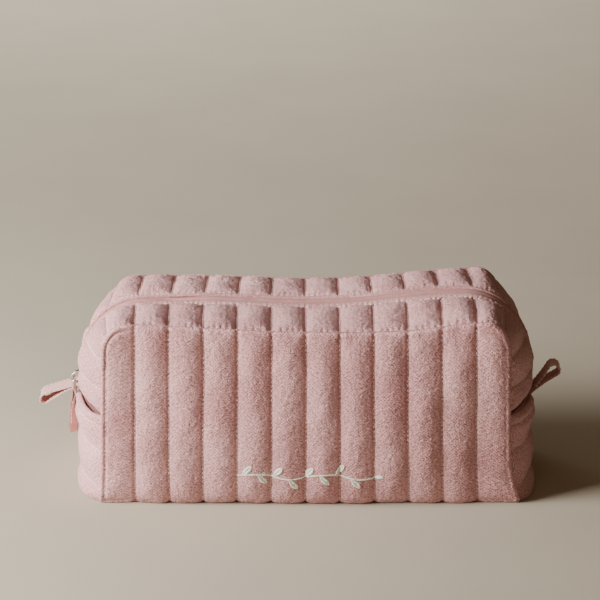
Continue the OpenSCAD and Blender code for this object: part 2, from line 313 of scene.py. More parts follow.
def pillow(name, outer, inner, uv, step=8):
    """Closed cushion: fine outer grid, coarse inner grid, joined along the rim."""
    rows, cols = outer.shape[:2]
    idx = np.arange(rows * cols).reshape(rows, cols)
    faces = grid_quads(idx).tolist()
    points = [outer.reshape(-1, 3)]
    uvs = [uv.reshape(-1, 2)]
    ri = coarse(rows, step)
    ci = coarse(cols, step)
    inside = {}
    count = rows * cols
    for r in ri[1:-1]:
        for c in ci[1:-1]:
            inside[(r, c)] = count + len(inside)
    if inside:
        keys = np.array(list(inside))
        points.append(inner[keys[:, 0], keys[:, 1]])
        uvs.append(uv[keys[:, 0], keys[:, 1]])
    for a in range(len(ri) - 1):
        for b in range(len(ci) - 1):
            faces.append(back_cell(idx, inside, ri, ci, a, b))
    return new_object(name, np.concatenate(points), faces, np.concatenate(uvs))


def back_cell(idx, inside, ri, ci, a, b):
    """One face of a cushion's inner side, following the rim where it meets it."""
    r0, r1, c0, c1 = ri[a], ri[a + 1], ci[b], ci[b + 1]
    low = range(c0, c1) if a == 0 else [c0]
    right = range(r0, r1) if b == len(ci) - 2 else [r0]
    high = range(c1, c0, -1) if a == len(ri) - 2 else [c1]
    left = range(r1, r0, -1) if b == 0 else [r1]
    ring = [(r0, c) for c in low] + [(r, c1) for r in right]
    ring += [(r1, c) for c in high] + [(r, c0) for r in left]
    return [int(inside.get(k, idx[k])) for k in reversed(ring)]


def sheet_mesh(name, grid, thick, uv):
    """Closed thin sheet on a grid of points."""
    half = normals(grid) * thick / 2
    return shell(name, grid + half, grid - half, uv)


def shell(name, top, low, uv):
    """Object closed between two equal grids of points."""
    points = np.concatenate([top.reshape(-1, 3), low.reshape(-1, 3)])
    flat = uv.reshape(-1, 2)
    return new_object(name, points, shell_faces(*top.shape[:2]), np.concatenate([flat, flat]))


def grid_area(grid):
    """Area of a grid in square metres."""
    a = grid[1:, 1:] - grid[:-1, :-1]
    b = grid[1:, :-1] - grid[:-1, 1:]
    return float(np.linalg.norm(np.cross(a, b), axis=-1).sum() / 2) * SCALE * SCALE


def tubes(paths, lifts, radius, sides=6, squash=1.0, tips=0.35):
    """Rings of points round many equal paths, lifted along their normals."""
    paths = np.asarray(paths, float)
    lifts = np.asarray(lifts, float)
    tangent = unit(np.gradient(paths, axis=1))
    across = unit(np.cross(tangent, lifts))
    up = np.cross(across, tangent)
    n, k = paths.shape[:2]
    size = np.full(k, radius)
    size[0] *= tips
    size[-1] *= tips
    angle = np.linspace(0, 2 * math.pi, sides, endpoint=False)
    ring = (across[:, :, None] * np.cos(angle)[None, None, :, None]
            + up[:, :, None] * np.sin(angle)[None, None, :, None] * squash)
    points = paths[:, :, None] + ring * size[None, :, None, None]
    return points.reshape(-1, 3), tube_faces(n, k, sides)


def tube_faces(n, k, sides):
    """Faces of n closed tubes with k rings each."""
    faces = []
    a = np.arange(sides)
    b = np.roll(a, -1)
    one = []
    for i in range(k - 1):
        one.append(np.stack([i * sides + a, i * sides + b,
                             (i + 1) * sides + b, (i + 1) * sides + a], -1))
    one = np.concatenate(one)
    offset = (np.arange(n) * k * sides)[:, None, None]
    faces = (one[None] + offset).reshape(-1, 4).tolist()
    for i in range(n):
        base = i * k * sides
        faces.append([base + int(v) for v in a[::-1]])
        faces.append([base + (k - 1) * sides + int(v) for v in a])
    return faces


class Threads:
    """Collects thread lying on cloth, and makes one object of it."""

    def __init__(self):
        self.points = []
        self.faces = []
        self.count = 0

    def add(self, points, faces):
        """Adds ready tubes."""
        self.points.append(points)
        self.faces.extend([[v + self.count for v in f] for f in faces])
        self.count += len(points)

    def stitches(self, line, up, pitch=2.8, length=1.8, radius=0.31, lift=0.19):
        """Running stitch along a line of points on the cloth."""
        step = np.linalg.norm(np.diff(line, axis=0), axis=1)
        s = np.concatenate([[0], np.cumsum(step)])
        if s[-1] < pitch * 1.5:
            return
        starts = np.arange(pitch * 0.3, s[-1] - length, pitch)
        at = starts[:, None] + np.linspace(0, length, 5)[None, :]
        path = np.stack([np.interp(at, s, line[:, i]) for i in range(3)], -1)
        lean = np.stack([np.interp(at, s, up[:, i]) for i in range(3)], -1)
        rise = np.array([-0.35, 0.6, 1.0, 0.6, -0.35]) * lift * 2
        path = path + lean * rise[None, :, None]
        self.add(*tubes(path, lean, radius))

    def build(self, name):
        """The object of all threads added so far."""
        return new_object(name, np.concatenate(self.points), self.faces)


# ---- cloth simulation of one quilted sheet ----

SIM_SCALE = 1 / 30.0
SIM_FRAMES = 25


def formula_puff(rows, cols, pinned, seed):
    far = np.where(pinned, 0.0, 40.0)
    for _ in range(24):
        near = far.copy()
        near[1:] = np.minimum(near[1:], far[:-1] + 1)
        near[:-1] = np.minimum(near[:-1], far[1:] + 1)
        near[:, 1:] = np.minimum(near[:, 1:], far[:, :-1] + 1)
        near[:, :-1] = np.minimum(near[:, :-1], far[:, 1:] + 1)
        far = near
    d = far * STEP
    h = 2.9 * (1 - np.exp(-d / 3.4)) + 0.25 * field((rows, cols), 5, seed)
    h[pinned] = 0
    zero = np.zeros_like(h)
    return np.stack([zero, zero, h], -1)


def quilt_sim(rows, cols, step, pinned, seed, shrink=0.012, pressure=9.0):
    """Blows a flat stitched sheet up: shift along, shift across and height, in mm."""
    if not EXACT:
        return formula_puff(rows, cols, pinned, seed)
    rng = np.random.default_rng(seed)
    u, v = np.meshgrid(np.arange(cols) * step, np.arange(rows) * step)
    w = rng.normal(0, 0.12, u.shape)
    w[pinned] = 0
    start = np.stack([u, v, w], -1)
    quads = grid_quads(np.arange(rows * cols).reshape(rows, cols))
    mesh = bpy.data.meshes.new("cloth_sim")
    mesh.from_pydata((start.reshape(-1, 3) * SIM_SCALE).tolist(), [], quads.tolist())
    obj = bpy.data.objects.new("cloth_sim", mesh)
    bpy.context.scene.collection.objects.link(obj)
    group = obj.vertex_groups.new(name="pin")
    group.add([int(i) for i in np.flatnonzero(pinned.ravel())], 1.0, "REPLACE")
    add_cloth(obj, shrink, pressure)
    scene = bpy.context.scene
    for f in range(1, SIM_FRAMES):
        scene.frame_set(f)
    shape = obj.evaluated_get(bpy.context.evaluated_depsgraph_get())
    co = np.empty(rows * cols * 3)
    shape.data.vertices.foreach_get("co", co)
    bpy.data.objects.remove(obj)
    bpy.data.meshes.remove(mesh)
    scene.frame_set(1)
    flat = np.stack([u, v, np.zeros_like(u)], -1)
    return co.reshape(rows, cols, 3) / SIM_SCALE - flat


def add_cloth(obj, shrink, pressure):
    """Cloth settings of a light cotton held at its stitches."""
    cloth = obj.modifiers.new("cloth", "CLOTH")
    s = cloth.settings
    s.quality = 6
    s.mass = 0.1
    s.vertex_group_mass = "pin"
    s.tension_stiffness = 30
    s.compression_stiffness = 30
    s.shear_stiffness = 12
    s.bending_stiffness = 0.6
    s.air_damping = 4
    s.shrink_min = -shrink
    s.shrink_max = -shrink
    s.use_pressure = True
    s.uniform_pressure_force = pressure
    s.effector_weights.gravity = 0
    cloth.point_cache.frame_start = 1
    cloth.point_cache.frame_end = SIM_FRAMES


# ---- surfaces of the bag ----


def zip_path(c):
    """X and Z on the zip's line at c along it."""
    over = np.clip(np.abs(c) - ARC_X, 0, None) / ZIP_R
    x = np.minimum(np.abs(c), ARC_X) + ZIP_R * np.sin(over)
    return np.sign(c) * x, ARC_Z + ZIP_R * np.cos(over)


def seam_path(c):
    """X and Z on a panel's seam, opposite c on the zip."""
    a = np.abs(c)
    s = np.where(a < 100, a, 100 + (a - 100) * (SEAM_LEN - 100) / (C_END - 100))
    over = np.clip(s - SEAM_STRAIGHT, 0, SEAM_TURN) / PANEL_R
    down = np.clip(s - SEAM_STRAIGHT - SEAM_TURN, 0, None)
    x = np.minimum(s, SEAM_STRAIGHT) + PANEL_R * np.sin(over)
    return np.sign(c) * x, PANEL_H - PANEL_R + PANEL_R * np.cos(over) - down


def strip_surface(c, d, side):
    """Point of the smooth outer form beside the zip."""
    y = SEAM_Y - d / STRIP_D * (SEAM_Y - ZIP_EDGE)
    g = 1 - (y / SEAM_Y) ** 2
    fx, fz = seam_path(c)
    zx, zz = zip_path(c)
    return np.stack([fx + (zx - fx) * g, side * y, fz + (zz - fz) * g], -1)


def strip_normals(p):
    """Normals that point out of the bag."""
    n = normals(p)
    return n if np.mean(n[:, n.shape[1] // 2, 2]) > 0 else -n


def panel_top(u):
    """Height of a panel's upper edge."""
    over = np.clip(np.abs(u) - SEAM_STRAIGHT, 0, PANEL_R)
    return PANEL_H - PANEL_R + np.sqrt(PANEL_R ** 2 - over ** 2)


def panel_bottom(u):
    """Height of a panel's lower edge."""
    over = np.clip(np.abs(u) - (HALF_W - 4), 0, 4)
    return 5.0 - np.sqrt(16 - over ** 2)


def panel_edge(x, z):
    """Distance in from a panel's outline, round its top corners."""
    dx = np.abs(x) - (HALF_W - PANEL_R)
    dz = z - (PANEL_H - PANEL_R)
    corner = PANEL_R - np.hypot(np.clip(dx, 0, None), np.clip(dz, 0, None))
    plain = np.minimum(HALF_W - np.abs(x), PANEL_H - z)
    return np.minimum(np.where((dx > 0) & (dz > 0), corner, plain), z + 0.6)


def panel_surface(u, v, side):
    """Point of a panel's outer form; u across, v from 0 at the floor to 1."""
    a = np.abs(u)
    q = np.clip((a - 102) / (HALF_W - 102), 0, 1)
    x = np.sign(u) * np.where(a > 102, 102 + (HALF_W - 102) * (1 - (1 - q) ** 1.5), a)
    x = x * (1 - 0.5 / HALF_W)
    z = panel_bottom(x) + (panel_top(x) - 0.6 - panel_bottom(x)) * v
    rise = np.sin(math.pi * np.clip(z / PANEL_H, 0, 1) ** 0.6)
    belly = 6.4 * (1 - (np.abs(x) / 124) ** 2.4) * rise
    edge = np.clip(panel_edge(x, z) - 0.3, 0, None)
    lift = 1.5 * (1 - np.exp(-edge / 0.6))
    y = SEAM_Y + lift + np.clip(belly, 0, None) - 1.7 * np.exp(-np.clip(z, 0, None) / 2.6)
    return np.stack([x, side * y, z], -1)


def gusset_surface(s, y):
    """Point of the lower gusset; s runs down one end, under the bag and up."""
    a = np.abs(s)
    low = np.clip((FLOOR_HALF + TURN_LEN + 32 - a) / 46, 0, 1)
    g = 1 - np.abs(y / SEAM_Y) ** (2 + 1.7 * low)
    width = HALF_W + (END_X - HALF_W) * g
    r = 2.5 + 3.5 * g
    flat = a <= 110
    run = np.clip((a - 110) / (FLOOR_HALF - 110), 0, 1)
    turn = np.clip((a - FLOOR_HALF) / TURN_LEN, 0, 1) * math.pi / 2
    up = np.clip((a - FLOOR_HALF - TURN_LEN) / RISE_LEN, 0, 1)
    x = np.where(flat, a, 110 + run * (width - r - 110)) + r * np.sin(turn)
    z = r - r * np.cos(turn) + up * (SEAM_Z - r)
    return np.stack([np.sign(s) * x, y, z], -1)


def toward(p, n, axis, last, steps):
    """Adds rows or columns that curl an edge in, given (along, out) offsets."""
    if axis == 1:
        q = toward(np.swapaxes(p, 0, 1), np.swapaxes(n, 0, 1), 0, last, steps)
        return np.swapaxes(q, 0, 1)
    edge = p[-1] if last else p[0]
    near = p[-3] if last else p[2]
    out = n[-1] if last else n[0]
    t = edge - near
    t = unit(t)
    rows = np.stack([edge + t * a + out * b for a, b in steps])
    return np.concatenate([p, rows]) if last else np.concatenate([rows[::-1], p])


def pad_uv(uv, axis, last, count):
    """Extends a UV grid for rows or columns added by toward."""
    if axis == 1:
        return np.swapaxes(pad_uv(np.swapaxes(uv, 0, 1), 0, last, count), 0, 1)
    edge = uv[-1] if last else uv[0]
    near = uv[-2] if last else uv[1]
    rows = np.stack([edge + (edge - near) * (i + 1) for i in range(count)])
    return np.concatenate([uv, rows]) if last else np.concatenate([rows[::-1], uv])


def curled(p, n, base, uv, edges):
    """Curls chosen edges of a grid; edges is a list of (axis, last, steps)."""
    for axis, last, steps in edges:
        p2 = toward(p, n, axis, last, steps)
        base = toward(base, n, axis, last, [(0, -1)] * len(steps))
        n = toward(n, n, axis, last, [(0, 0)] * len(steps))
        uv = pad_uv(uv, axis, last, len(steps))
        p = p2
    return p, base, uv


SEAM_CURL = [(0.25, -0.45), (0.3, -1.2), (-0.2, -2.4)]
FOLD_CURL = [(0.45, -0.35), (0.55, -1.0), (0.2, -1.7), (-0.8, -2.1)]

# ---- quilted pieces ----


def line_distance(values, lines):
    """Distance from each value to the nearest of the lines."""
    lines = np.asarray(lines, float)
    return np.min(np.abs(values[..., None] - lines), axis=-1)


def tufts(across, along_line, depth, pitch=3.1):
    """Dip of the cloth at a stitched line, deepest at the needle holes."""
    holes = 0.5 + 0.5 * np.cos(2 * math.pi * along_line / pitch)
    return -bump(across, 0.85) * depth * (0.65 + 0.35 * holes)


def puckers(edge, along_line, seed, reach=3.0, pitch=3.7, size=0.38):
    """Small gathers that run away from a seam."""
    rng = np.random.default_rng(seed)
    drift = rng.uniform(0, 6.28)
    wave = np.abs(np.sin(math.pi * along_line / pitch + drift
                         + 0.9 * np.sin(along_line / 9.0 + drift)))
    return size * (wave - 0.5) * np.exp(-np.clip(edge, 0, None) / reach)


PANEL_LINES = np.arange(-100, 101, PITCH)
STRIP_LINES = np.arange(-160, 161, PITCH)


def panel_height(seed):
    """Simulated puff of a panel on its fine grid, with shifts."""
    cols = int(2 * HALF_W / STEP) + 1
    rows = int(round(PANEL_H / STEP)) + 1
    u = (np.arange(cols) - (cols - 1) / 2) * STEP
    pinned = np.zeros((rows, cols), bool)
    pinned[:, line_distance(u, PANEL_LINES) < 0.1] = True
    pinned[0] = pinned[-1] = True
    pinned[:, 0] = pinned[:, -1] = True
    return pressed(refine(quilt_sim(rows, cols, STEP, pinned, seed))), u, rows, cols


def make_panel(name, side, seed):
    """One quilted panel: cushion, its fine grid and its normals."""
    move, u, rows, cols = panel_height(seed)
    fine_u = np.linspace(u[0], u[-1], 2 * cols - 1)
    fine_v = np.linspace(0, 1, 2 * rows - 1)
    uu, vv = np.meshgrid(fine_u, fine_v)
    zz = vv * PANEL_H
    sway = 0.6 * field(uu.shape, (64, 50), seed + 8) * np.clip(1 - (uu / 112) ** 8, 0, 1)
    base = panel_surface(uu + move[..., 0] + sway,
                         np.clip(vv + move[..., 1] / PANEL_H, 0, 1), side)
    flat = panel_surface(uu, vv, side)
    n = outward(flat, 1, side)
    edge = panel_edge(flat[..., 0], flat[..., 2])
    calm = np.clip(edge / 2.5, 0, 1)
    line = line_distance(uu, PANEL_LINES)
    h = move[..., 2] + crinkle(uu.shape, seed + 10) * calm * (0.5 + 0.5 * (1 - bump(line, 2)))
    h += tufts(line, zz, 0.75)
    h += puckers(edge, uu + zz, seed + 3, reach=2.2, size=0.16)
    h += puckers(line, zz, seed + 5, reach=1.8, pitch=4.6, size=0.12)
    hand = np.where(flat[..., 0] < 0, 1.0, 0.15)
    beside = np.clip((np.abs(flat[..., 0]) - 98) / 12, 0, 1) * hand
    h += 0.3 * bump(edge - 1.6, 1.1) + beside * 0.35 * bump(edge - 1.7, 1.0)
    h -= beside * 0.75 * bump(edge - 3.6, 0.75)
    plump = np.exp(-np.clip(edge, 0, None) / 3.2) * (1 - bump(line, 2.6)) * (1 - beside)
    h += 0.8 * plump
    h += (0.7 * field(uu.shape, 30, seed + 6) + 0.3 * field(uu.shape, 14, seed + 7)) * calm
    p = base + n * h[..., None]
    p[..., 2] -= 0.9 * (1 - bump(line, 4.0)) * np.exp(-np.clip(zz, 0, None) / 3.0)
    p[..., 2] = np.maximum(p[..., 2], 0.3)
    uv = np.stack([uu, zz], -1)
    fine = slump(p)
    fn = outward(fine, 1, side)
    edges = [(0, True, SEAM_CURL), (0, False, SEAM_CURL), (1, True, SEAM_CURL),
             (1, False, SEAM_CURL)]
    back = flat.copy()
    back[..., 1] = side * (SEAM_Y - 0.1)
    outer, inner, uv2 = curled(fine, n, slump(back), uv, edges)
    obj = pillow(name, outer, inner, uv2, step=12)
    return obj, fine, fn, uv


def strip_grid(seed):
    """Simulated cushion surface of one whole zip strip."""
    cols = 2 * int(C_END / STEP) + 1
    rows = int(round(STRIP_D / STEP)) + 1
    c = (np.arange(cols) - (cols - 1) / 2) * STEP
    d = np.arange(rows) * STEP
    hem = rows - 4
    pinned = np.zeros((rows, cols), bool)
    pinned[:, line_distance(c, STRIP_LINES) < 0.1] = True
    pinned[0] = True
    pinned[hem:] = True
    pinned[:, 0] = pinned[:, -1] = True
    move = pressed(refine(quilt_sim(rows, cols, STEP, pinned, seed, shrink=0.018,
                                    pressure=9.0)), 16)
    cc, dd = np.meshgrid(np.linspace(c[0], c[-1], 2 * cols - 1),
                         np.linspace(0, d[-1], 2 * rows - 1))
    return cc, dd, move, d[hem]


def make_strip(side, seed):
    """Outer grid, inner grid, normals and UV of one zip strip."""
    cc, dd, move, hem = strip_grid(seed)
    cc_full = cc * C_END / cc[0, -1]
    flat = strip_surface(cc_full, dd, side)
    n = strip_normals(flat)
    base = strip_surface(cc_full + move[..., 0], np.clip(dd + move[..., 1], 0, STRIP_D), side)
    line = line_distance(cc, STRIP_LINES)
    soft = np.clip((hem - dd) / 2.0, 0, 1) * np.clip(dd / 1.5, 0, 1)
    h = move[..., 2] - 1.2
    h += crinkle(cc.shape, seed + 10, 1.5) * soft * (0.5 + 0.5 * (1 - bump(line, 2)))
    h += tufts(line, dd, 0.6) * np.clip((hem + 1 - dd) / 2, 0, 1)
    h += puckers(dd, cc, seed + 3, reach=3.6, size=0.62)
    h += puckers(np.abs(dd - hem), cc, seed + 4, reach=3.0, pitch=3.3, size=0.40)
    h += tufts(dd - hem, cc, 0.5)
    h += 0.95 * np.clip((dd - hem) / 1.6, 0, 1)
    h += 0.5 * field(cc.shape, (14, 18), seed + 6) * np.clip(dd / 4, 0, 1) * soft
    sway = 0.35 * field(cc.shape, 60, seed + 7) * np.clip((dd - hem) / 3, 0, 1)
    lip = bump(C_END - np.abs(cc_full), 3.0)
    h += 0.8 * np.exp(-dd / 1.6) - 1.6 * lip
    h -= 0.9 * np.clip((dd - hem + 2) / 3, 0, 1) * np.clip((-70 - cc) / 25, 0, 1)
    h += 0.7 * (1 - np.exp(-dd / 1.2)) * np.exp(-dd / 5.0) * (1 - bump(line, 2.6))
    p = base + n * h[..., None]
    p[..., 1] += side * sway
    uv = np.stack([cc, dd + 200 * (side + 2)], -1)
    fine = slump(p)
    fn = strip_normals(fine)
    edges = [(0, True, FOLD_CURL), (0, False, SEAM_CURL), (1, True, FOLD_CURL),
             (1, False, FOLD_CURL)]
    outer, inner, uv2 = curled(fine, n, slump(flat - n * QUILT_THICK), uv, edges)
    return {"outer": outer, "inner": inner, "uv": uv2, "fine": fine, "normal": fn,
            "c": cc, "d": dd, "hem": hem, "extra": len(FOLD_CURL)}


def split_strip(strip, lo, hi, name):
    """Cushion of the part of a strip from c = lo to c = hi."""
    c = strip["c"][0]
    extra = strip["extra"]
    a = 0 if lo is None else int(np.argmin(np.abs(c - lo))) + extra
    b = strip["outer"].shape[1] - 1 if hi is None else int(np.argmin(np.abs(c - hi))) + extra
    cut = slice(a, b + 1)
    return pillow(name, strip["outer"][:, cut], strip["inner"][:, cut], strip["uv"][:, cut])


def make_gusset(seed):
    """The lower gusset: both ends below the seams and the floor of the bag."""
    step = 2.0
    half = int(GUSSET_HALF / step)
    cols = 2 * half + 1
    rows = 47
    s = (np.arange(cols) - half) * step
    lines = np.concatenate([np.arange(-120, 121, PITCH), [-166, -146, 146, 166]])
    pinned = np.zeros((rows, cols), bool)
    pinned[:, line_distance(s, lines) < 0.1] = True
    pinned[0] = pinned[-1] = True
    pinned[:, 0] = pinned[:, -1] = True
    move = pressed(refine(quilt_sim(rows, cols, step, pinned, seed, shrink=0.03,
                                    pressure=9.0)), 12)
    ss, yy = np.meshgrid(np.linspace(s[0], s[-1], 2 * cols - 1),
                         np.linspace(-SEAM_Y, SEAM_Y, 2 * rows - 1))
    full = ss * GUSSET_HALF / s[-1]
    flat = gusset_surface(full, yy)
    n = outward(flat, 2, -1)
    base = gusset_surface(full + move[..., 0], np.clip(yy + move[..., 1], -SEAM_Y, SEAM_Y))
    line = line_distance(ss, lines)
    edge = SEAM_Y - np.abs(yy)
    calm = np.clip(edge / 2.5, 0, 1)
    h = move[..., 2] * (1 - 0.6 * bump(full, 122)) - 1.1
    h += crinkle(ss.shape, seed + 10, 1.3) * calm
    h += tufts(line, yy, 0.5)
    h += puckers(edge, ss, seed + 3, size=0.45)
    rim = GUSSET_RIM - np.abs(full)
    loops = np.where(full < 0, joint_pos("left_loop_flex")[1], joint_pos("right_loop_flex")[1])
    room = 1 - 1.3 * bump(yy - loops, 8.5)
    h += (2.3 * room * bump(rim - 1.6, 2.6) + 0.9 * bump(rim - 9.0, 3.0)) * np.clip(edge / 9, 0, 1)
    h -= 1.2 * bump(yy - loops, 8.0) * bump(rim - 12, 12)
    h -= 0.9 * bump(rim - 5.5, 1.0)
    h += 0.6 * field(ss.shape, (16, 11), seed + 6) * calm * (np.abs(full) > 128)
    p = base + n * h[..., None]
    under = np.abs(full) < 128
    p[..., 2] = np.where(under, p[..., 2] + 1.2 + 1.9 * bump(edge, 2.6), p[..., 2])
    p[..., 2] -= 1.3 * bump(rim, 5.0)
    p[..., 2] = np.maximum(p[..., 2], 0.06)
    uv = np.stack([ss, yy + 900], -1)
    fine = slump(p)
    edges = [(0, True, [(0.1, -0.8), (-0.3, -2.0)]), (0, False, [(0.1, -0.8), (-0.3, -2.0)]),
             (1, True, FOLD_CURL), (1, False, FOLD_CURL)]
    outer, inner, uv2 = curled(fine, n, slump(flat - n * QUILT_THICK), uv, edges)
    obj = pillow("gusset_quilt", outer, inner, uv2, step=8)
    return obj, fine, outward(fine, 2, -1), ss[0], lines


# ---- linings and bindings ----


def panel_lining(name, side, seed):
    """Smooth lining behind a panel, a little slack."""
    half = HALF_W - LINING_INSET
    uu, vv = np.meshgrid(np.linspace(-half, half, 97), np.linspace(0.06, 0.94, 41))
    p = panel_surface(uu * HALF_W / (HALF_W - 1.5), vv, side)
    p[..., 0] *= half / HALF_W
    p[..., 1] = side * (HALF_D - 0.75 - 0.25 * (1 + field(uu.shape, 7, seed)))
    p = slump(p)
    p[..., 1] += side * -0.3
    return sheet_mesh(name, p, CLOTH_THICK, np.stack([uu, vv * PANEL_H], -1)), grid_area(p)


def strip_lining(name, side, lo, hi, seed):
    """Lining under part of a zip strip."""
    count = max(5, int((hi - lo) / 3.0))
    cc, dd = np.meshgrid(np.linspace(lo, hi, count), np.linspace(1.2, 37.6, 19))
    flat = strip_surface(cc, dd, side)
    n = strip_normals(flat)
    drop = LINING_DROP + 0.3 * field(cc.shape, 4, seed)
    p = slump(flat - n * drop[..., None])
    return sheet_mesh(name, p, CLOTH_THICK, np.stack([cc, dd], -1)), grid_area(p)


def gusset_lining(seed):
    """Lining of the lower gusset."""
    reach = HALF_D - 1.2
    ss, yy = np.meshgrid(np.linspace(-LINING_END, LINING_END, 190), np.linspace(-reach, reach, 37))
    flat = gusset_surface(ss, yy)
    n = outward(flat, 2, -1)
    drop = LINING_DROP + 0.3 * field(ss.shape, 4, seed)
    p = slump(flat - n * drop[..., None])
    cloth = sheet_mesh("gusset_lining_cloth", p, CLOTH_THICK, np.stack([ss, yy], -1))
    return cloth, grid_area(p)


def band(points, across, out, half_width, half_thick):
    """Closed band with rounded edges along a line of points."""
    angle = np.linspace(0, 2 * math.pi, 12, endpoint=False)
    a = np.sign(np.cos(angle)) * np.abs(np.cos(angle)) ** 0.35 * half_width
    b = np.sign(np.sin(angle)) * np.abs(np.sin(angle)) ** 0.7 * half_thick
    ring = across[:, None] * a[None, :, None] + out[:, None] * b[None, :, None]
    rings = points[:, None] + ring
    return rings.reshape(-1, 3), tube_faces(1, len(points), 12)


def inner_binding(name, side, seed):
    """Tape bound over the seam allowance all round one panel, inside the bag."""
    builder = Threads()
    mid = HALF_D - 4.4
    wobble = np.random.default_rng(seed)
    c = np.linspace(-C_END + 1, C_END - 1, 170)
    d = np.full_like(c, (SEAM_Y - mid) / (SEAM_Y - ZIP_EDGE) * STRIP_D)
    grid = np.stack([strip_surface(c, d - 1, side), strip_surface(c, d, side),
                     strip_surface(c, d + 1, side)])
    add_binding(builder, grid, strip_normals(grid)[1], wobble)
    s = np.linspace(-BINDING_END, BINDING_END, 180)
    y = np.full_like(s, side * mid)
    grid = np.stack([gusset_surface(s, y - side), gusset_surface(s, y),
                     gusset_surface(s, y + side)])
    add_binding(builder, grid, outward(grid, 2, -1)[1], wobble)
    return builder.build(name)


def add_binding(builder, grid, n, rng):
    """One run of binding tape at a fixed depth under the outer form."""
    wave = np.convolve(rng.normal(0, 0.35, len(n) + 8), np.ones(9) / 9, mode="valid")
    line = grid[1] - n * (5.85 + wave[:, None] * 0.5)
    across = unit(grid[2] - grid[0])
    builder.add(*band(slump(line), across, n, 3.1, 0.55))


def end_binding(name, side):
    """Bound seam allowance across one end, inside the bag."""
    y = np.linspace(-36, 36, 60)
    g = 1 - (y / SEAM_Y) ** 2
    x = side * (HALF_W + (END_X - HALF_W) * g - 5.85)
    line = np.stack([x, y, np.full_like(y, SEAM_Z - 1.7)], -1)
    out = np.gradient(line, axis=0)
    out = unit(np.stack([out[:, 1], -out[:, 0], np.zeros_like(y)], -1) * side)
    across = np.tile(np.array([0, 0, 1.0]), (len(y), 1))
    return new_object(name, *band(slump(line), across, out, 2.7, 0.55))


# ---- zip ----


def zip_point(c, y, drop):
    """Point beside the zip's line, drop millimetres below it."""
    x, z = zip_path(c)
    over = np.clip(np.abs(c) - ARC_X, 0, None) / ZIP_R
    out = np.stack([np.sign(c) * np.sin(over), np.zeros_like(over), np.cos(over)], -1)
    p = np.stack([x, y, z], -1)
    return p - out * np.asarray(drop)[..., None]


def tape_rise(c):
    """The tape sits a little higher away from the slider's run on the left."""
    t = np.clip((c + 73) / 20, 0, 1)
    return 1.4 * t * t * (3 - 2 * t)


def slider_dip(c, y):
    """Hollow along the middle of the tape, which keeps the slider clear at its stop."""
    return 1.5 * bump(c + 79, 8.0) * np.clip((5.2 - y) / 1.2, 0, 1)


def zip_tape(name, side, lo, hi):
    """Half of the zip's tape: woven band with a rolled edge at the middle."""
    count = max(9, int((hi - lo) / 0.8))
    y = np.concatenate([np.linspace(0.1, 1.4, 6), np.linspace(1.9, 8.0, 15)])
    cc, yy = np.meshgrid(np.linspace(lo, hi, count), y)
    roll = 0.35 * np.exp(-((yy - 2.2) / 1.6) ** 2) - 1.9 * np.exp(-(yy / 0.95) ** 2)
    ribs = 0.05 * np.sin(2 * math.pi * cc / 1.6) * np.clip(yy / 1.0, 0, 1)
    drop = TAPE_DROP - tape_rise(cc) + slider_dip(cc, yy) - roll - ribs
    p = slump(zip_point(cc, side * yy, drop))
    p[..., 1] += 0.25 * np.sin(cc / 17.0) + 0.12 * np.sin(cc / 5.3)
    return sheet_mesh(name, p, 0.5, np.stack([cc, yy * side + 50], -1))


def zip_coil(name, side, lo, hi):
    """Row of nylon coil under one half of the tape."""
    pitch = 1.3
    turns = int((hi - lo) / pitch)
    t = np.linspace(0, turns, turns * 10 + 1)
    c = lo + t * (hi - lo) / turns
    angle = 2 * math.pi * t
    y = 1.45 + 1.25 * np.cos(angle)
    drop = TAPE_DROP + 1.35 + 0.55 * np.sin(angle) - tape_rise(c) + slider_dip(c, y)
    p = slump(zip_point(c, side * y, drop))
    p[..., 1] += 0.25 * np.sin(c / 17.0) + 0.12 * np.sin(c / 5.3)
    up = zip_point(c, side * y, drop - 1) - zip_point(c, side * y, drop)
    up = up + np.array([0, 0.3, 0])
    return new_object(name, *tubes(p[None], up[None], 0.27, sides=5, tips=0.8))


# ---- slider, ring, strap and loops ----


def on_arc(angle, radius, y):
    """Point on the left zip arc; angle in radians below the level of its centre."""
    return np.stack([-ARC_X - radius * np.cos(angle), y,
                     ARC_Z - radius * np.sin(angle)], -1)


REST = math.asin((ARC_Z - joint_pos("pull_swing")[2])
                 / np.linalg.norm(joint_pos("pull_swing") - ARC))
LUG_R = float(np.linalg.norm(joint_pos("pull_swing") - ARC))


PLATE_HALF = 4.5
PLATE_REACH = 5.3
WALL_Y = 4.1
RING_HALF = 3.82
RING_CORNER = 1.2
WIRE_R = 0.6
STRAP_W = 5.6
STRAP_TURN = 58
LOOP_W = 10.6
LOOP_ROOT = -3.0
LOOP_SIZE = {-1: (25.5, 3.1), 1: (22.0, 3.7)}


def slider_plate(builder, low, high):
    """Curved plate of the slider, narrower towards its tail."""
    tt, ww = np.meshgrid(np.linspace(-1, 1, 15), np.linspace(-1, 1, 11), indexing="ij")
    angle = REST + tt * PLATE_REACH / ZIP_R
    wide = PLATE_HALF - 1.1 * np.clip(tt, 0, 1) ** 1.5 - 1.3 * bump(np.abs(tt) - 1, 0.18)
    y = ww * wide
    dome = 0.25 * (1 - ww ** 2) * (1 - tt ** 2)
    top = on_arc(angle, high + dome - 0.35 * (np.abs(ww) > 0.95), y)
    bottom = on_arc(angle, low, y)
    points = np.concatenate([top.reshape(-1, 3), bottom.reshape(-1, 3)])
    builder.add(points, shell_faces(*tt.shape))


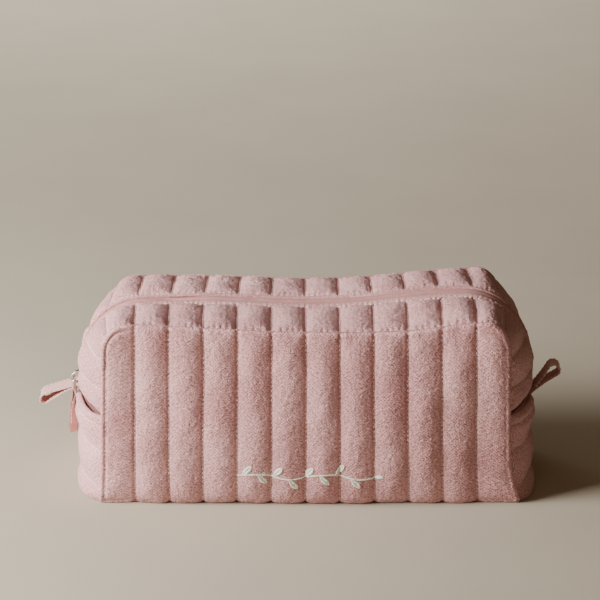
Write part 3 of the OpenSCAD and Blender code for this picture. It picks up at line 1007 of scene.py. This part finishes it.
def make_slider():
    """Zip slider: two plates, side walls, and the bridge that holds the ring."""
    builder = Threads()
    slider_plate(builder, ZIP_R - 2.3, ZIP_R - 1.1)
    slider_plate(builder, ZIP_R - 6.7, ZIP_R - 5.7)
    for s in (-1, 1):
        a = REST + np.linspace(-4.6, 2.2, 12) / ZIP_R
        line = on_arc(a, np.full(12, ZIP_R - 1.9), np.full(12, s * WALL_Y))
        out = np.tile(np.array([0, s * 1.0, 0]), (12, 1))
        across = line - np.array([-ARC_X, 0, ARC_Z]) * np.array([1, 0, 1])
        across[:, 1] = 0
        builder.add(*band(line, unit(across), out, 0.7, 0.42))
    add_bridge(builder)
    obj = builder.build("zip_slider_metal")
    bevel = obj.modifiers.new("bevel", "BEVEL")
    bevel.width = 0.0002
    bevel.segments = 2
    bevel.limit_method = "ANGLE"
    bevel.angle_limit = math.radians(50)
    return obj


def add_bridge(builder):
    """Arched bridge over the slider's top plate."""
    t = np.linspace(0, 1, 25)
    a = REST + (-3.9 + 7.4 * t) / ZIP_R
    arch = np.sin(math.pi * t) ** 0.45
    r = ZIP_R - 1.3 + (LUG_R + 1.65 - ZIP_R + 1.3) * arch
    line = on_arc(a, r, np.zeros(25))
    across = np.tile(np.array([0, 1.0, 0]), (25, 1))
    out = np.cross(unit(np.gradient(line, axis=0)), across)
    builder.add(*band(line, across, out, 1.3, 0.42))


def make_ring():
    """Wire ring between the slider's bridge and the strap."""
    top = joint_pos("pull_swing")
    low = joint_pos("strap_swing")
    half = RING_HALF
    r = RING_CORNER
    corners = [(half, top[2], 0), (-half, top[2], 90), (-half, low[2], 180), (half, low[2], 270)]
    signs = [(-1, 0), (1, 0), (1, 1), (-1, 1)]
    path = []
    for (y, z, start), (sy, sz) in zip(corners, signs):
        cy = y + sy * r
        cz = z + (r if sz else -r)
        for k in range(7):
            a = math.radians(start + 15 * k)
            path.append((cy + r * math.cos(a), cz + r * math.sin(a)))
    path = np.array(path)
    closed = np.concatenate([path, path[:1]])
    sides = 12
    mid = np.stack([np.full(len(path), top[0]), path[:, 0], path[:, 1]], -1)
    tangent = np.gradient(closed, axis=0)[:-1]
    tangent[0] = path[1] - path[-1]
    tangent = unit(tangent)
    flat = np.stack([np.zeros(len(path)), tangent[:, 1], -tangent[:, 0]], -1)
    out = np.tile(np.array([1.0, 0, 0]), (len(path), 1))
    ang = np.linspace(0, 2 * math.pi, sides, endpoint=False)
    ring = flat[:, None] * np.cos(ang)[None, :, None] + out[:, None] * np.sin(ang)[None, :, None]
    pts = (mid[:, None] + ring * WIRE_R).reshape(-1, 3)
    m = len(path)
    faces = []
    for i in range(m):
        for j in range(sides):
            k = (j + 1) % sides
            n = (i + 1) % m
            faces.append([i * sides + j, i * sides + k, n * sides + k, n * sides + j])
    return new_object("pull_ring_wire", pts, faces)


def ribbon(points, across, thick, width, edge=0.5):
    """Closed woven ribbon with rounded selvedges along a line of points."""
    t = np.linspace(-1, 1, 13)
    profile = np.clip(1 - np.abs(t) ** 6, 0, 1) * 0.5 + edge * 0.5
    out = unit(np.cross(unit(np.gradient(points, axis=0)), across))
    top = points[:, None] + across[:, None] * (t * width / 2)[None, :, None]
    rise = out[:, None] * (profile * thick / 2)[None, :, None]
    return top + rise, top - rise, out


def ribbon_mesh(name, points, across, thick, width):
    """Object of a ribbon, with UV along and across it."""
    top, low, out = ribbon(points, across, thick, width)
    s = np.concatenate([[0], np.cumsum(np.linalg.norm(np.diff(points, axis=0), axis=1))])
    uu, vv = np.meshgrid(np.linspace(-width / 2, width / 2, top.shape[1]), s)
    return shell(name, top, low, np.stack([uu, vv], -1)), out


def make_strap():
    """Folded ribbon pull on the ring, turned a little as it hangs."""
    pivot = joint_pos("strap_swing")
    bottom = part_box("pull_strap")[0].z * 1000
    length = pivot[2] - bottom
    down = np.linspace(0, 1, 30)
    half = np.concatenate([1.25 * np.cos(np.linspace(-math.pi / 2, 0, 6))[:-1],
                           1.25 - 0.62 * np.clip(down * 5, 0, 1)])
    drop = np.concatenate([-1.25 * np.abs(np.sin(np.linspace(-math.pi / 2, 0, 6)))[:-1],
                           down * length])
    x = np.concatenate([half, -half[-2::-1]])
    z = np.concatenate([drop, drop[-2::-1]])
    fall = np.clip(z / length, 0, 1)
    turn = -math.radians(STRAP_TURN) * np.clip((fall - 0.08) / 0.4, 0, 1) ** 1.2
    lean = -1.6 * fall
    px = pivot[0] + x * np.cos(turn) + lean
    py = pivot[1] + x * np.sin(turn)
    points = np.stack([px, py, pivot[2] - z], -1)
    across = np.stack([-np.sin(turn), np.cos(turn), 0 * turn], -1)
    obj, out = ribbon_mesh("pull_strap_ribbon", points, across, 0.75, STRAP_W)
    return obj, points, across, out


def loop_line(length, half, root):
    """Outline of a folded tape loop along +X."""
    c = length - half
    run = np.linspace(root, c, 30)
    top = np.stack([run, 0.55 + (half - 0.55) * np.clip(run / c, 0, 1) ** 1.5], -1)
    a = np.linspace(math.pi / 2, -math.pi / 2, 25)[1:-1]
    tip = np.stack([c + half * np.cos(a), half * np.sin(a)], -1)
    low = top[::-1] * np.array([1, -1])
    return np.concatenate([top, tip, low])


def make_loop(name, joint_name, angle, side, seed):
    """Folded tape loop at one end of the zip."""
    pivot = joint_pos(joint_name)
    line = loop_line(*LOOP_SIZE[side], LOOP_ROOT)
    a = math.radians(angle)
    x = line[:, 0] * math.cos(a) - line[:, 1] * math.sin(a)
    z = line[:, 0] * math.sin(a) + line[:, 1] * math.cos(a)
    n = len(line)
    sag = 0.35 * np.sin(np.linspace(0, 5.0, n) + seed)
    droop = 0.005 * x * x if side < 0 else 0
    points = np.stack([pivot[0] + side * x, np.full(n, pivot[1]) + sag, pivot[2] + z - droop], -1)
    across = np.tile(np.array([0, 1.0, 0]), (n, 1))
    across[:, 2] += 0.10 * np.sin(np.linspace(0, 3.1, n) + seed) + (0.12 if side > 0 else 0.06)
    across = unit(across)
    obj, out = ribbon_mesh(name, points, across, 1.0, LOOP_W)
    return obj, points, across, out


# ---- embroidery ----


class Surface:
    """Looks up points on the front panel's finished cloth."""

    def __init__(self, fine, normal):
        self.fine = fine
        self.normal = normal

    def at(self, x, z):
        """Point and normal of the cloth at x across and z up."""
        rows, cols = self.fine.shape[:2]
        i = np.clip(z / PANEL_H * (rows - 1), 0, rows - 2)
        j = np.clip((x / HALF_W + 1) / 2 * (cols - 1), 0, cols - 2)
        a = i.astype(int)
        b = j.astype(int)
        f = (i - a)[..., None]
        g = (j - b)[..., None]
        out = []
        for m in (self.fine, self.normal):
            low = m[a, b] * (1 - g) + m[a, b + 1] * g
            high = m[a + 1, b] * (1 - g) + m[a + 1, b + 1] * g
            out.append(low * (1 - f) + high * f)
        return out


def satin(builder, surface, starts, ends, lift=0.42, radius=0.22):
    """Satin stitches from starts to ends, as pairs of x and z."""
    t = np.linspace(0, 1, 6)
    line = starts[:, None] * (1 - t)[None, :, None] + ends[:, None] * t[None, :, None]
    p, n = surface.at(line[..., 0], line[..., 1])
    rise = lift * np.sin(math.pi * np.clip(t, 0.02, 0.98)) ** 0.6 - 0.05
    p = p + n * rise[None, :, None]
    builder.add(*tubes(p, n, radius, squash=0.8))


def leaf_stitches(builder, surface, x, z, angle, length, width):
    """One leaf of slanted satin stitches about its midrib."""
    s = np.linspace(0.03, 0.97, int(length / 0.27))
    half = width / 2 * np.sin(math.pi * s) ** 0.75
    ca, sa = math.cos(angle), math.sin(angle)
    mid = np.stack([x + ca * s * length, z + sa * s * length], -1)
    for hand in (-1, 1):
        tip_x = s * length + 0.45 * half
        tip = np.stack([x + ca * tip_x - sa * half * hand,
                        z + sa * tip_x + ca * half * hand], -1)
        satin(builder, surface, mid, tip)


LEAF_GAP = 9
STEM_WAVE = 1.6
STEM_PERIOD = 21


def make_motif(surface):
    """Generic leafy sprig in pale thread, low on the front."""
    builder = Threads()
    lo = motif_lo.x * 1000
    hi = motif_hi.x * 1000
    mid_z = (motif_lo.z + motif_hi.z) * 500
    x = np.arange(lo + 2.5, hi - 5, 0.3)
    z = mid_z + STEM_WAVE * np.sin((x - lo - 2) / STEM_PERIOD * math.pi)
    lean = np.stack([np.full_like(x, 0.5), np.full_like(x, 0.5)], -1)
    spot = np.stack([x, z], -1)
    satin(builder, surface, spot - lean, spot + lean, radius=0.19)
    leaves = int((hi - lo - 16) / LEAF_GAP)
    for i in range(leaves + 1):
        lx = lo + 5.5 + LEAF_GAP * i
        up = 1 if i % 2 == 0 else -1
        lz = mid_z + STEM_WAVE * math.sin((lx - lo - 2) / STEM_PERIOD * math.pi)
        leaf_stitches(builder, surface, lx, lz, up * math.radians(50), 8.0, 3.6)
    end_z = mid_z + STEM_WAVE * math.sin((hi - 5 - lo - 2) / STEM_PERIOD * math.pi)
    leaf_stitches(builder, surface, hi - 5.5, end_z, math.radians(8), 5.4, 2.4)
    return builder.build("sprig_embroidery")


# ---- materials ----


def paint(nodes, links, shader, value, dark, light, start, end):
    """Colours a shader from dark to light as a value goes from start to end."""
    node = nodes.new("ShaderNodeValToRGB")
    for element, place, colour in zip(node.color_ramp.elements, (start, end), (dark, light)):
        element.position = place
        element.color = (*colour, 1)
    links.new(value, node.inputs["Fac"])
    links.new(node.outputs["Color"], shader.inputs["Base Color"])


def material(name):
    """Empty node material with its principled shader."""
    m = bpy.data.materials.new(name)
    m.use_nodes = True
    nodes = m.node_tree.nodes
    return m, nodes, m.node_tree.links, nodes["Principled BSDF"]


def noise_node(nodes, links, source, scale, detail, rough=0.55, stretch=None, turn=0.0):
    """Noise texture on given coordinates, stretched and turned if asked."""
    tex = nodes.new("ShaderNodeTexNoise")
    tex.inputs["Scale"].default_value = scale
    tex.inputs["Detail"].default_value = detail
    tex.inputs["Roughness"].default_value = rough
    if stretch is not None:
        place = nodes.new("ShaderNodeMapping")
        place.inputs["Scale"].default_value = stretch
        place.inputs["Rotation"].default_value = (0, 0, turn)
        links.new(source, place.inputs["Vector"])
        source = place.outputs["Vector"]
    links.new(source, tex.inputs["Vector"])
    return tex.outputs["Fac"]


def math_node(nodes, links, operation, *values):
    """One sum of sockets and plain numbers."""
    node = nodes.new("ShaderNodeMath")
    node.operation = operation
    for socket, value in zip(node.inputs, values):
        if isinstance(value, float):
            socket.default_value = value
        else:
            links.new(value, socket)
    return node.outputs[0]


def chain_bump(nodes, links, height, strength, distance, before=None):
    """Bump on top of an earlier bump."""
    node = nodes.new("ShaderNodeBump")
    node.inputs["Strength"].default_value = strength
    node.inputs["Distance"].default_value = distance
    links.new(height, node.inputs["Height"])
    if before is not None:
        links.new(before, node.inputs["Normal"])
    return node.outputs["Normal"]


def weave(nodes, links, source, period, turn=0.0):
    """Over and under weave of threads, period in metres, turned by an angle."""
    outs = []
    place = nodes.new("ShaderNodeMapping")
    place.inputs["Rotation"].default_value = (0, 0, turn)
    links.new(source, place.inputs["Vector"])
    source = place.outputs["Vector"]
    for direction in ("X", "Y"):
        wave = nodes.new("ShaderNodeTexWave")
        wave.wave_type = "BANDS"
        wave.bands_direction = direction
        wave.inputs["Scale"].default_value = 0.31416 / period
        wave.inputs["Distortion"].default_value = 0.6
        wave.inputs["Detail Scale"].default_value = 2.0
        links.new(source, wave.inputs["Vector"])
        outs.append(wave.outputs["Fac"])
    return math_node(nodes, links, "MAXIMUM", *outs)


def cloudy(name, coords, scale, detail, dark, light, end=0.7, rough=0.6):
    """Material in two close tones that drift like cloud, with its parts."""
    m, nodes, links, shader = material(name)
    place = nodes.new("ShaderNodeTexCoord").outputs[coords]
    cloud = noise_node(nodes, links, place, scale, detail, rough)
    paint(nodes, links, shader, cloud, dark, light, 0.3, end)
    return m, nodes, links, shader, place, cloud


def washed_cotton(name, dark, light, seed):
    """Crinkled washed cotton; its colour comes from the bump noises: random tone with painted
    crinkle shade, lighter ridges and darker creases.
    """
    m, nodes, links, shader = material(name)
    uv = nodes.new("ShaderNodeTexCoord").outputs["UV"]
    fine = noise_node(nodes, links, uv, 900, 3, 0.75, (1, 1.2, 1), 0.5)
    slant = noise_node(nodes, links, uv, 560, 3, 0.65, (1.0, 2.0, 1), 0.75 + seed)
    wide = noise_node(nodes, links, uv, 22, 3, 0.5)
    twill = weave(nodes, links, uv, 0.00135, 0.85)
    crossed = math_node(nodes, links, "MULTIPLY_ADD", twill, 0.16, fine)
    # painted crinkle shade: colour from the same noises as the bumps, darker in creases and
    # lighter on ridges, over a random tone
    grain_and_crinkle_shade = math_node(nodes, links, "ADD", crossed, slant)
    soft = math_node(nodes, links, "MULTIPLY", wide, 0.22)
    both = math_node(nodes, links, "MULTIPLY_ADD", grain_and_crinkle_shade, 0.5, soft)
    paint(nodes, links, shader, both, dark, light, 0.57, 0.75)
    normal = chain_bump(nodes, links, slant, 0.8, 0.0010)
    normal = chain_bump(nodes, links, fine, 0.9, 0.0009, normal)
    normal = chain_bump(nodes, links, twill, 0.5, 0.00022, normal)
    normal = chain_bump(nodes, links, weave(nodes, links, uv, 0.00042), 0.25, 0.00008, normal)
    links.new(normal, shader.inputs["Normal"])
    shader.inputs["Roughness"].default_value = 0.92
    shader.inputs["Specular IOR Level"].default_value = 0.15
    shader.inputs["Sheen Weight"].default_value = 0.22
    shader.inputs["Sheen Roughness"].default_value = 0.55
    return m


def plain_cloth(name, dark, light, period, rough=0.85, coords="UV"):
    """Smooth woven cloth or tape."""
    m, nodes, links, shader, place, cloud = cloudy(name, coords, 160, 4, dark, light, 0.72)
    normal = chain_bump(nodes, links, cloud, 0.4, 0.0004)
    normal = chain_bump(nodes, links, weave(nodes, links, place, period), 0.5, 0.00015, normal)
    links.new(normal, shader.inputs["Normal"])
    shader.inputs["Roughness"].default_value = rough
    shader.inputs["Specular IOR Level"].default_value = 0.2
    shader.inputs["Sheen Weight"].default_value = 0.15
    return m


def thread_material(name, dark, light, gloss):
    """Twisted thread."""
    m, nodes, links, shader, _, cloud = cloudy(name, "Object", 700, 3, dark, light)
    normal = chain_bump(nodes, links, cloud, 0.5, 0.0002)
    links.new(normal, shader.inputs["Normal"])
    shader.inputs["Roughness"].default_value = gloss
    shader.inputs["Sheen Weight"].default_value = 0.1
    return m


def metal(name, dark, light, rough):
    """Plated metal with faint wear."""
    m, nodes, links, shader, _, cloud = cloudy(name, "Object", 260, 4, dark, light)
    normal = chain_bump(nodes, links, cloud, 0.12, 0.0001)
    links.new(normal, shader.inputs["Normal"])
    shader.inputs["Metallic"].default_value = 1.0
    shader.inputs["Roughness"].default_value = rough
    return m


def floor_material():
    """Matt pale paper."""
    m, _, _, shader, _, _ = cloudy("pale_floor", "Object", 9, 3, (0.475, 0.43, 0.345),
                                   (0.505, 0.455, 0.365), rough=0.5)
    shader.inputs["Roughness"].default_value = 0.9
    shader.inputs["Specular IOR Level"].default_value = 0.1
    return m


COTTON = washed_cotton("washed_pink_cotton", (0.50, 0.20, 0.205), (0.95, 0.56, 0.56), 0.0)
LINING = plain_cloth("lining_cotton", (0.55, 0.38, 0.33), (0.66, 0.48, 0.42), 0.0005)
TAPE = plain_cloth("zip_tape_weave", (0.50, 0.225, 0.215), (0.60, 0.30, 0.285), 0.0006, 0.7)
BINDING = plain_cloth("binding_weave", (0.60, 0.45, 0.40), (0.70, 0.55, 0.49), 0.0006,
                      coords="Object")
TAB = plain_cloth("tab_weave", (0.60, 0.33, 0.30), (0.78, 0.49, 0.45), 0.0006)
# painted shade: the seam fold is darker than the cotton so it reads as the shadow in the seam
# crease
FOLD = plain_cloth("seam_fold_cotton", (0.34, 0.15, 0.145), (0.44, 0.21, 0.20), 0.0006,
                   coords="Object")
# painted shade: near-black rose so the gap in each end seam reads as shadowed
END_FOLD_SHADE = plain_cloth("end_fold_cotton", (0.15, 0.055, 0.05), (0.22, 0.09, 0.085), 0.0006,
                   coords="Object")
THREAD = thread_material("cotton_thread", (0.84, 0.68, 0.64), (0.96, 0.86, 0.82), 0.6)
SPRIG = thread_material("sprig_thread", (0.80, 0.80, 0.68), (0.95, 0.95, 0.84), 0.45)
COIL = thread_material("coil_nylon", (0.34, 0.17, 0.15), (0.42, 0.23, 0.21), 0.35)
STEEL = metal("slider_metal", (0.58, 0.57, 0.55), (0.72, 0.71, 0.69), 0.28)
WIRE = metal("ring_metal", (0.62, 0.61, 0.59), (0.76, 0.75, 0.73), 0.24)


def dress(obj, mat):
    """Gives a piece its material."""
    obj.data.materials.clear()
    obj.data.materials.append(mat)
    return obj


def put_piece(obj, mat, slot_name, body, *nodes):
    """Dresses a piece, ties it to a body and hides the CAD nodes it replaces."""
    dress(obj, mat)
    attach(obj, body)
    if nodes:
        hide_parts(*nodes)
    return obj


def hinged(obj, mat, slot_name, lid, end, *nodes):
    """Dresses a piece, hides the CAD nodes it replaces and bakes its place into its mesh."""
    dress(obj, mat)
    if nodes:
        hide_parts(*nodes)
    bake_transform(obj)
    return obj


# ---- building the bag ----

EDGE_THREAD = 0.24
RIM_STITCH = 181.0


def side_column(reach):
    """The grid column that lies on the stitch line beside a panel's left edge."""
    half = len(reach) // 2
    return int(np.argmin(np.abs(reach[:half] - (HALF_W - 3.8))))


def seam_fold(name, side):
    """Folded cloth in the seam round a panel, coloured darker as painted shade of the seam crease.
    """
    builder = Threads()
    c = np.linspace(-C_END, C_END, 420)
    x, z = seam_path(c)
    y = np.full_like(c, side * (SEAM_Y + 0.1))
    lie = np.hypot(np.gradient(x), np.gradient(z))
    x2 = x + np.gradient(z) / lie * 0.85
    z2 = z - np.gradient(x) / lie * 0.85
    line = slump(np.stack([x2, y, z2], -1))
    out = np.tile(np.array([0, side * 0.6, 0.8]), (len(c), 1))
    builder.add(*tubes(line[None], out[None], 0.75, sides=8, tips=0.8))
    s = np.linspace(-GUSSET_RIM, GUSSET_RIM, 420)
    ring = gusset_surface(s, np.full_like(s, side * (SEAM_Y - 0.1)))
    ring[:, 2] = np.maximum(ring[:, 2], 1.2)
    ring[:, 0] -= np.sign(ring[:, 0]) * 0.85 * (np.abs(s) > 130)
    line = slump(ring)
    builder.add(*tubes(line[None], out[:1].repeat(len(s), 0)[None], 0.75, sides=8, tips=0.8))
    return builder.build(name)


def end_fold(name, side):
    """Folded cloth in the seam across one end, near-black rose as painted shade in the gap under
    the strip's end.
    """
    y = np.linspace(-SEAM_Y + 1, SEAM_Y - 1, 70)
    g = 1 - (y / SEAM_Y) ** 2
    x = side * (HALF_W + (END_X - HALF_W) * g - 4.0)
    line = slump(np.stack([x, y, np.full_like(y, SEAM_Z - 0.4)], -1))
    out = np.tile(np.array([side * 1.0, 0, 0]), (len(y), 1))
    return new_object(name, *tubes(line[None], out[None], 1.3, sides=8, tips=0.8))


def build_panels(bag_thread):
    """Front and back panels with their quilting and linings."""
    result = {}
    for name, side, seed in (("front", -1, 11), ("back", 1, 23)):
        obj, fine, fn, uv = make_panel(name + "_quilt", side, seed)
        put_piece(obj, COTTON, "quilted_cotton", "bag", name + "_panel", name + "_wadding")
        cols = uv[0, :, 0]
        for x in PANEL_LINES:
            j = int(np.argmin(np.abs(cols - x)))
            bag_thread.stitches(fine[3:-3, j], fn[3:-3, j])
        j = side_column(np.abs(fine[120, :, 0]))
        bag_thread.stitches(fine[4:-30, j], fn[4:-30, j], radius=EDGE_THREAD)
        lining, area = panel_lining(name + "_lining_cloth", side, seed + 40)
        put_piece(lining, LINING, "lining_cotton", "bag", name + "_lining")
        result[name] = (fine, fn)
    return result


def strip_threads(builder, strip, lo, hi):
    """Quilting lines and the topstitch of part of a strip."""
    c = strip["c"][0]
    d = strip["d"][:, 0]
    hem = int(np.argmin(np.abs(d - strip["hem"])))
    for x in STRIP_LINES:
        if lo <= x < hi:
            j = int(np.argmin(np.abs(c - x)))
            builder.stitches(strip["fine"][2:hem - 2, j], strip["normal"][2:hem - 2, j])
    pick = (c >= lo) & (c <= hi)
    builder.stitches(strip["fine"][hem, pick], strip["normal"][hem, pick])


def build_strips(bag_thread):
    """The two zip strips: fixed ends and the halves that open."""
    for name, side, seed in (("front", -1, 31), ("back", 1, 47)):
        strip = make_strip(side, seed)
        lid = name + "_lid"
        for end, lo, hi in (("left", None, -MOUTH), ("right", MOUTH, None)):
            node = end + "_end_" + name
            obj = split_strip(strip, lo, hi, node + "_quilt")
            put_piece(obj, COTTON, "quilted_cotton", "bag", node, node + "_wadding")
            a = -C_END + 1 if lo is None else lo
            b = C_END - 1 if hi is None else hi
            strip_threads(bag_thread, strip, a, b + 0.1)
            lining, area = strip_lining(node + "_lining_cloth", side, a, b, seed + 5)
            put_piece(lining, LINING, "lining_cotton", "bag", node + "_lining")
        for end, lo, hi, hand in (("left", -MOUTH, 0.0, -1), ("right", 0.0, MOUTH, 1)):
            build_flap_half(strip, name, side, lid, end, lo, hi, hand, seed)


def build_flap_half(strip, name, side, lid, end, lo, hi, hand, seed):
    """Half of an opening flap, with its thread, lining, tape and coil."""
    part = name + "_flap_" + end
    obj = split_strip(strip, lo, hi, part + "_quilt")
    hinged(obj, COTTON, "quilted_cotton", lid, hand, name + "_flap", name + "_flap_wadding")
    lining, area = strip_lining(part + "_lining_cloth", side, lo, hi, seed + 7)
    hinged(lining, LINING, "lining_cotton", lid, hand, name + "_flap_lining")
    thread = Threads()
    strip_threads(thread, strip, lo + (0.1 if end == "left" else 0), hi)
    hinged(thread.build(part + "_thread"), THREAD, "quilted_cotton", lid, hand)
    tape = zip_tape(part + "_tape", side, lo, hi)
    hinged(tape, TAPE, "zip_tape", lid, hand, name + "_tape")
    coil = zip_coil(part + "_coil", side, lo, hi)
    hinged(coil, COIL, "zip_coil", lid, hand, name + "_coil")


def build_end_zips():
    """Tape and coil of the zip's fixed ends."""
    for end, lo, hi in (("left", -C_END + 0.8, -MOUTH), ("right", MOUTH, C_END - 0.8)):
        for name, side in (("front", -1), ("back", 1)):
            node = end + "_" + name
            tape = zip_tape(node + "_tape_weave", side, lo, hi)
            put_piece(tape, TAPE, "zip_tape", "bag", node + "_tape")
            coil = zip_coil(node + "_coil_nylon", side, lo, hi)
            put_piece(coil, COIL, "zip_coil", "bag", node + "_coil")


def build_gusset(bag_thread):
    """Lower gusset with its quilting lines and lining."""
    obj, fine, fn, cols, lines = make_gusset(61)
    put_piece(obj, COTTON, "quilted_cotton", "bag", "bottom_gusset", "bottom_wadding")
    for x in lines:
        if abs(x) > 130:
            j = int(np.argmin(np.abs(cols - x)))
            bag_thread.stitches(fine[4:-4, j], fn[4:-4, j])
    for s in (-RIM_STITCH, RIM_STITCH):
        j = int(np.argmin(np.abs(cols - s)))
        bag_thread.stitches(fine[4:-4, j], fn[4:-4, j])
    lining, area = gusset_lining(71)
    put_piece(lining, LINING, "lining_cotton", "bag", "bottom_lining")


def build_trim():
    """Bindings inside, and the zip's slider and ring."""
    for name, side in (("front", -1), ("back", 1)):
        tape = inner_binding(name + "_binding_tape", side, 81 + side)
        put_piece(tape, BINDING, "binding_cotton", "bag", name + "_binding")
    for name, side in (("left", -1), ("right", 1)):
        tape = end_binding(name + "_seam_binding_tape", side)
        put_piece(tape, BINDING, "binding_cotton", "bag", name + "_seam_binding")
    put_piece(make_slider(), STEEL, "slider_metal", "slider", "zip_slider")
    put_piece(make_ring(), WIRE, "ring_metal", "ring", "pull_ring")


def tape_stitches(name, points, across, out, offsets, lift, first, last):
    """Rows of stitches near the edges of a ribbon."""
    builder = Threads()
    for off in offsets:
        for face in (1, -1):
            line = points + across * off + out * lift * face
            builder.stitches(line[first:last], out[first:last] * face, pitch=2.6, length=1.8,
                             radius=0.2, lift=0.08)
    return builder.build(name)


def build_seams():
    """Folds in the seams round the panels and across the ends, coloured dark as painted crease
    shade.
    """
    for name, side in (("front", -1), ("back", 1)):
        put_piece(seam_fold(name + "_seam_fold", side), FOLD, "quilted_cotton", "bag")
    for name, side in (("left", -1), ("right", 1)):
        put_piece(end_fold(name + "_seam_fold", side), END_FOLD_SHADE, "quilted_cotton", "bag")


def flex(obj):
    """Bakes the place of a loop, whose root is sewn in the end seam, into its mesh."""
    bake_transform(obj)


def build_soft_trim():
    """Strap and loops, each with its sewing."""
    strap, points, across, out = make_strap()
    put_piece(strap, TAB, "tape_cotton", "strap", "pull_strap")
    sewn = tape_stitches("pull_strap_thread", points, across, out, (-2.1, 2.1), 0.34, 12, 31)
    put_piece(sewn, THREAD, "tape_cotton", "strap")
    for name, node, body, angle, side in (("left_loop_tape", "left_loop", "left_tab", -17, -1),
                                          ("right_loop_tape", "right_loop", "right_tab", 46, 1)):
        loop, points, across, out = make_loop(name, node + "_flex", angle, side, 2 + side)
        dress(loop, TAB)
        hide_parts(node)
        flex(loop)
        sewn = tape_stitches(name + "_thread", points, across, out, (-4.2, 4.2), 0.48, 8, -8)
        dress(sewn, THREAD)
        flex(sewn)


# ---- stage, light and camera ----

CAMERA_UP = 20
CAMERA_AWAY = 1.35
CAMERA_LENS = 136


def area_light(name, place, target, size, power, colour):
    """Soft rectangular light aimed at a point."""
    data = bpy.data.lights.new(name, "AREA")
    data.shape = "RECTANGLE"
    data.size, data.size_y = size
    data.energy = power
    data.color = colour
    obj = bpy.data.objects.new(name, data)
    bpy.context.scene.collection.objects.link(obj)
    obj.location = place
    obj.rotation_mode = "QUATERNION"
    obj.rotation_quaternion = (Vector(target) - Vector(place)).to_track_quat("-Z", "Y")


def make_stage():
    """Pale floor under and behind the bag."""
    bm = bmesh.new()
    bmesh.ops.create_grid(bm, x_segments=40, y_segments=40, size=6.0)
    mesh = bpy.data.meshes.new("floor")
    bm.to_mesh(mesh)
    bm.free()
    floor = bpy.data.objects.new("floor", mesh)
    bpy.context.scene.collection.objects.link(floor)
    mesh.materials.append(floor_material())
    floor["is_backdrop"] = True


def make_lights():
    """Window light from the left, weak fill, a wash on the floor behind and a soft sky."""
    area_light("window", (-0.90, -0.31, 0.50), (0.0, 0.0, 0.05), (0.5, 0.5), 30,
               (1.0, 0.965, 0.93))
    area_light("fill", (-0.9, -2.0, 0.75), (0.0, 0.0, 0.08), (1.4, 0.9), 0.8, (1.0, 0.86, 0.78))
    area_light("wash", (-0.9, 1.3, 1.6), (-0.1, 1.9, 0.0), (1.2, 0.6), 19, (1.0, 0.965, 0.92))
    bpy.data.lights["wash"].spread = math.radians(100)
    world = bpy.data.worlds.new("studio")
    bpy.context.scene.world = world
    world.use_nodes = True
    back = world.node_tree.nodes["Background"]
    back.inputs["Color"].default_value = (1.0, 0.68, 0.40, 1)
    back.inputs["Strength"].default_value = 0.11


def make_camera():
    """Camera at the photograph's angle: straight on, 20 degrees above level."""
    data = bpy.data.cameras.new("camera")
    data.sensor_width = 36
    data.lens = CAMERA_LENS
    cam = bpy.data.objects.new("camera", data)
    bpy.context.scene.collection.objects.link(cam)
    up = math.radians(CAMERA_UP)
    target = Vector((-0.0032, 0, 0.1107))
    back = Vector((0, -math.cos(up), math.sin(up)))
    cam.location = target + back * CAMERA_AWAY
    cam.rotation_mode = "QUATERNION"
    cam.rotation_quaternion = (-back).to_track_quat("-Z", "Y")
    bpy.context.scene.camera = cam


def corners():
    """Low and high corner of what shows, as plain lists."""
    lo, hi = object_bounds()
    return [list(lo), list(hi)]


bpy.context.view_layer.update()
thread = Threads()
panels = build_panels(thread)
build_strips(thread)
build_end_zips()
build_gusset(thread)
put_piece(thread.build("quilting_thread"), THREAD, "quilted_cotton", "bag")
build_trim()
build_seams()
build_soft_trim()
put_piece(make_motif(Surface(*panels["front"])), SPRIG, "sprig_thread", "bag", "motif")
make_stage()
make_lights()
make_camera()
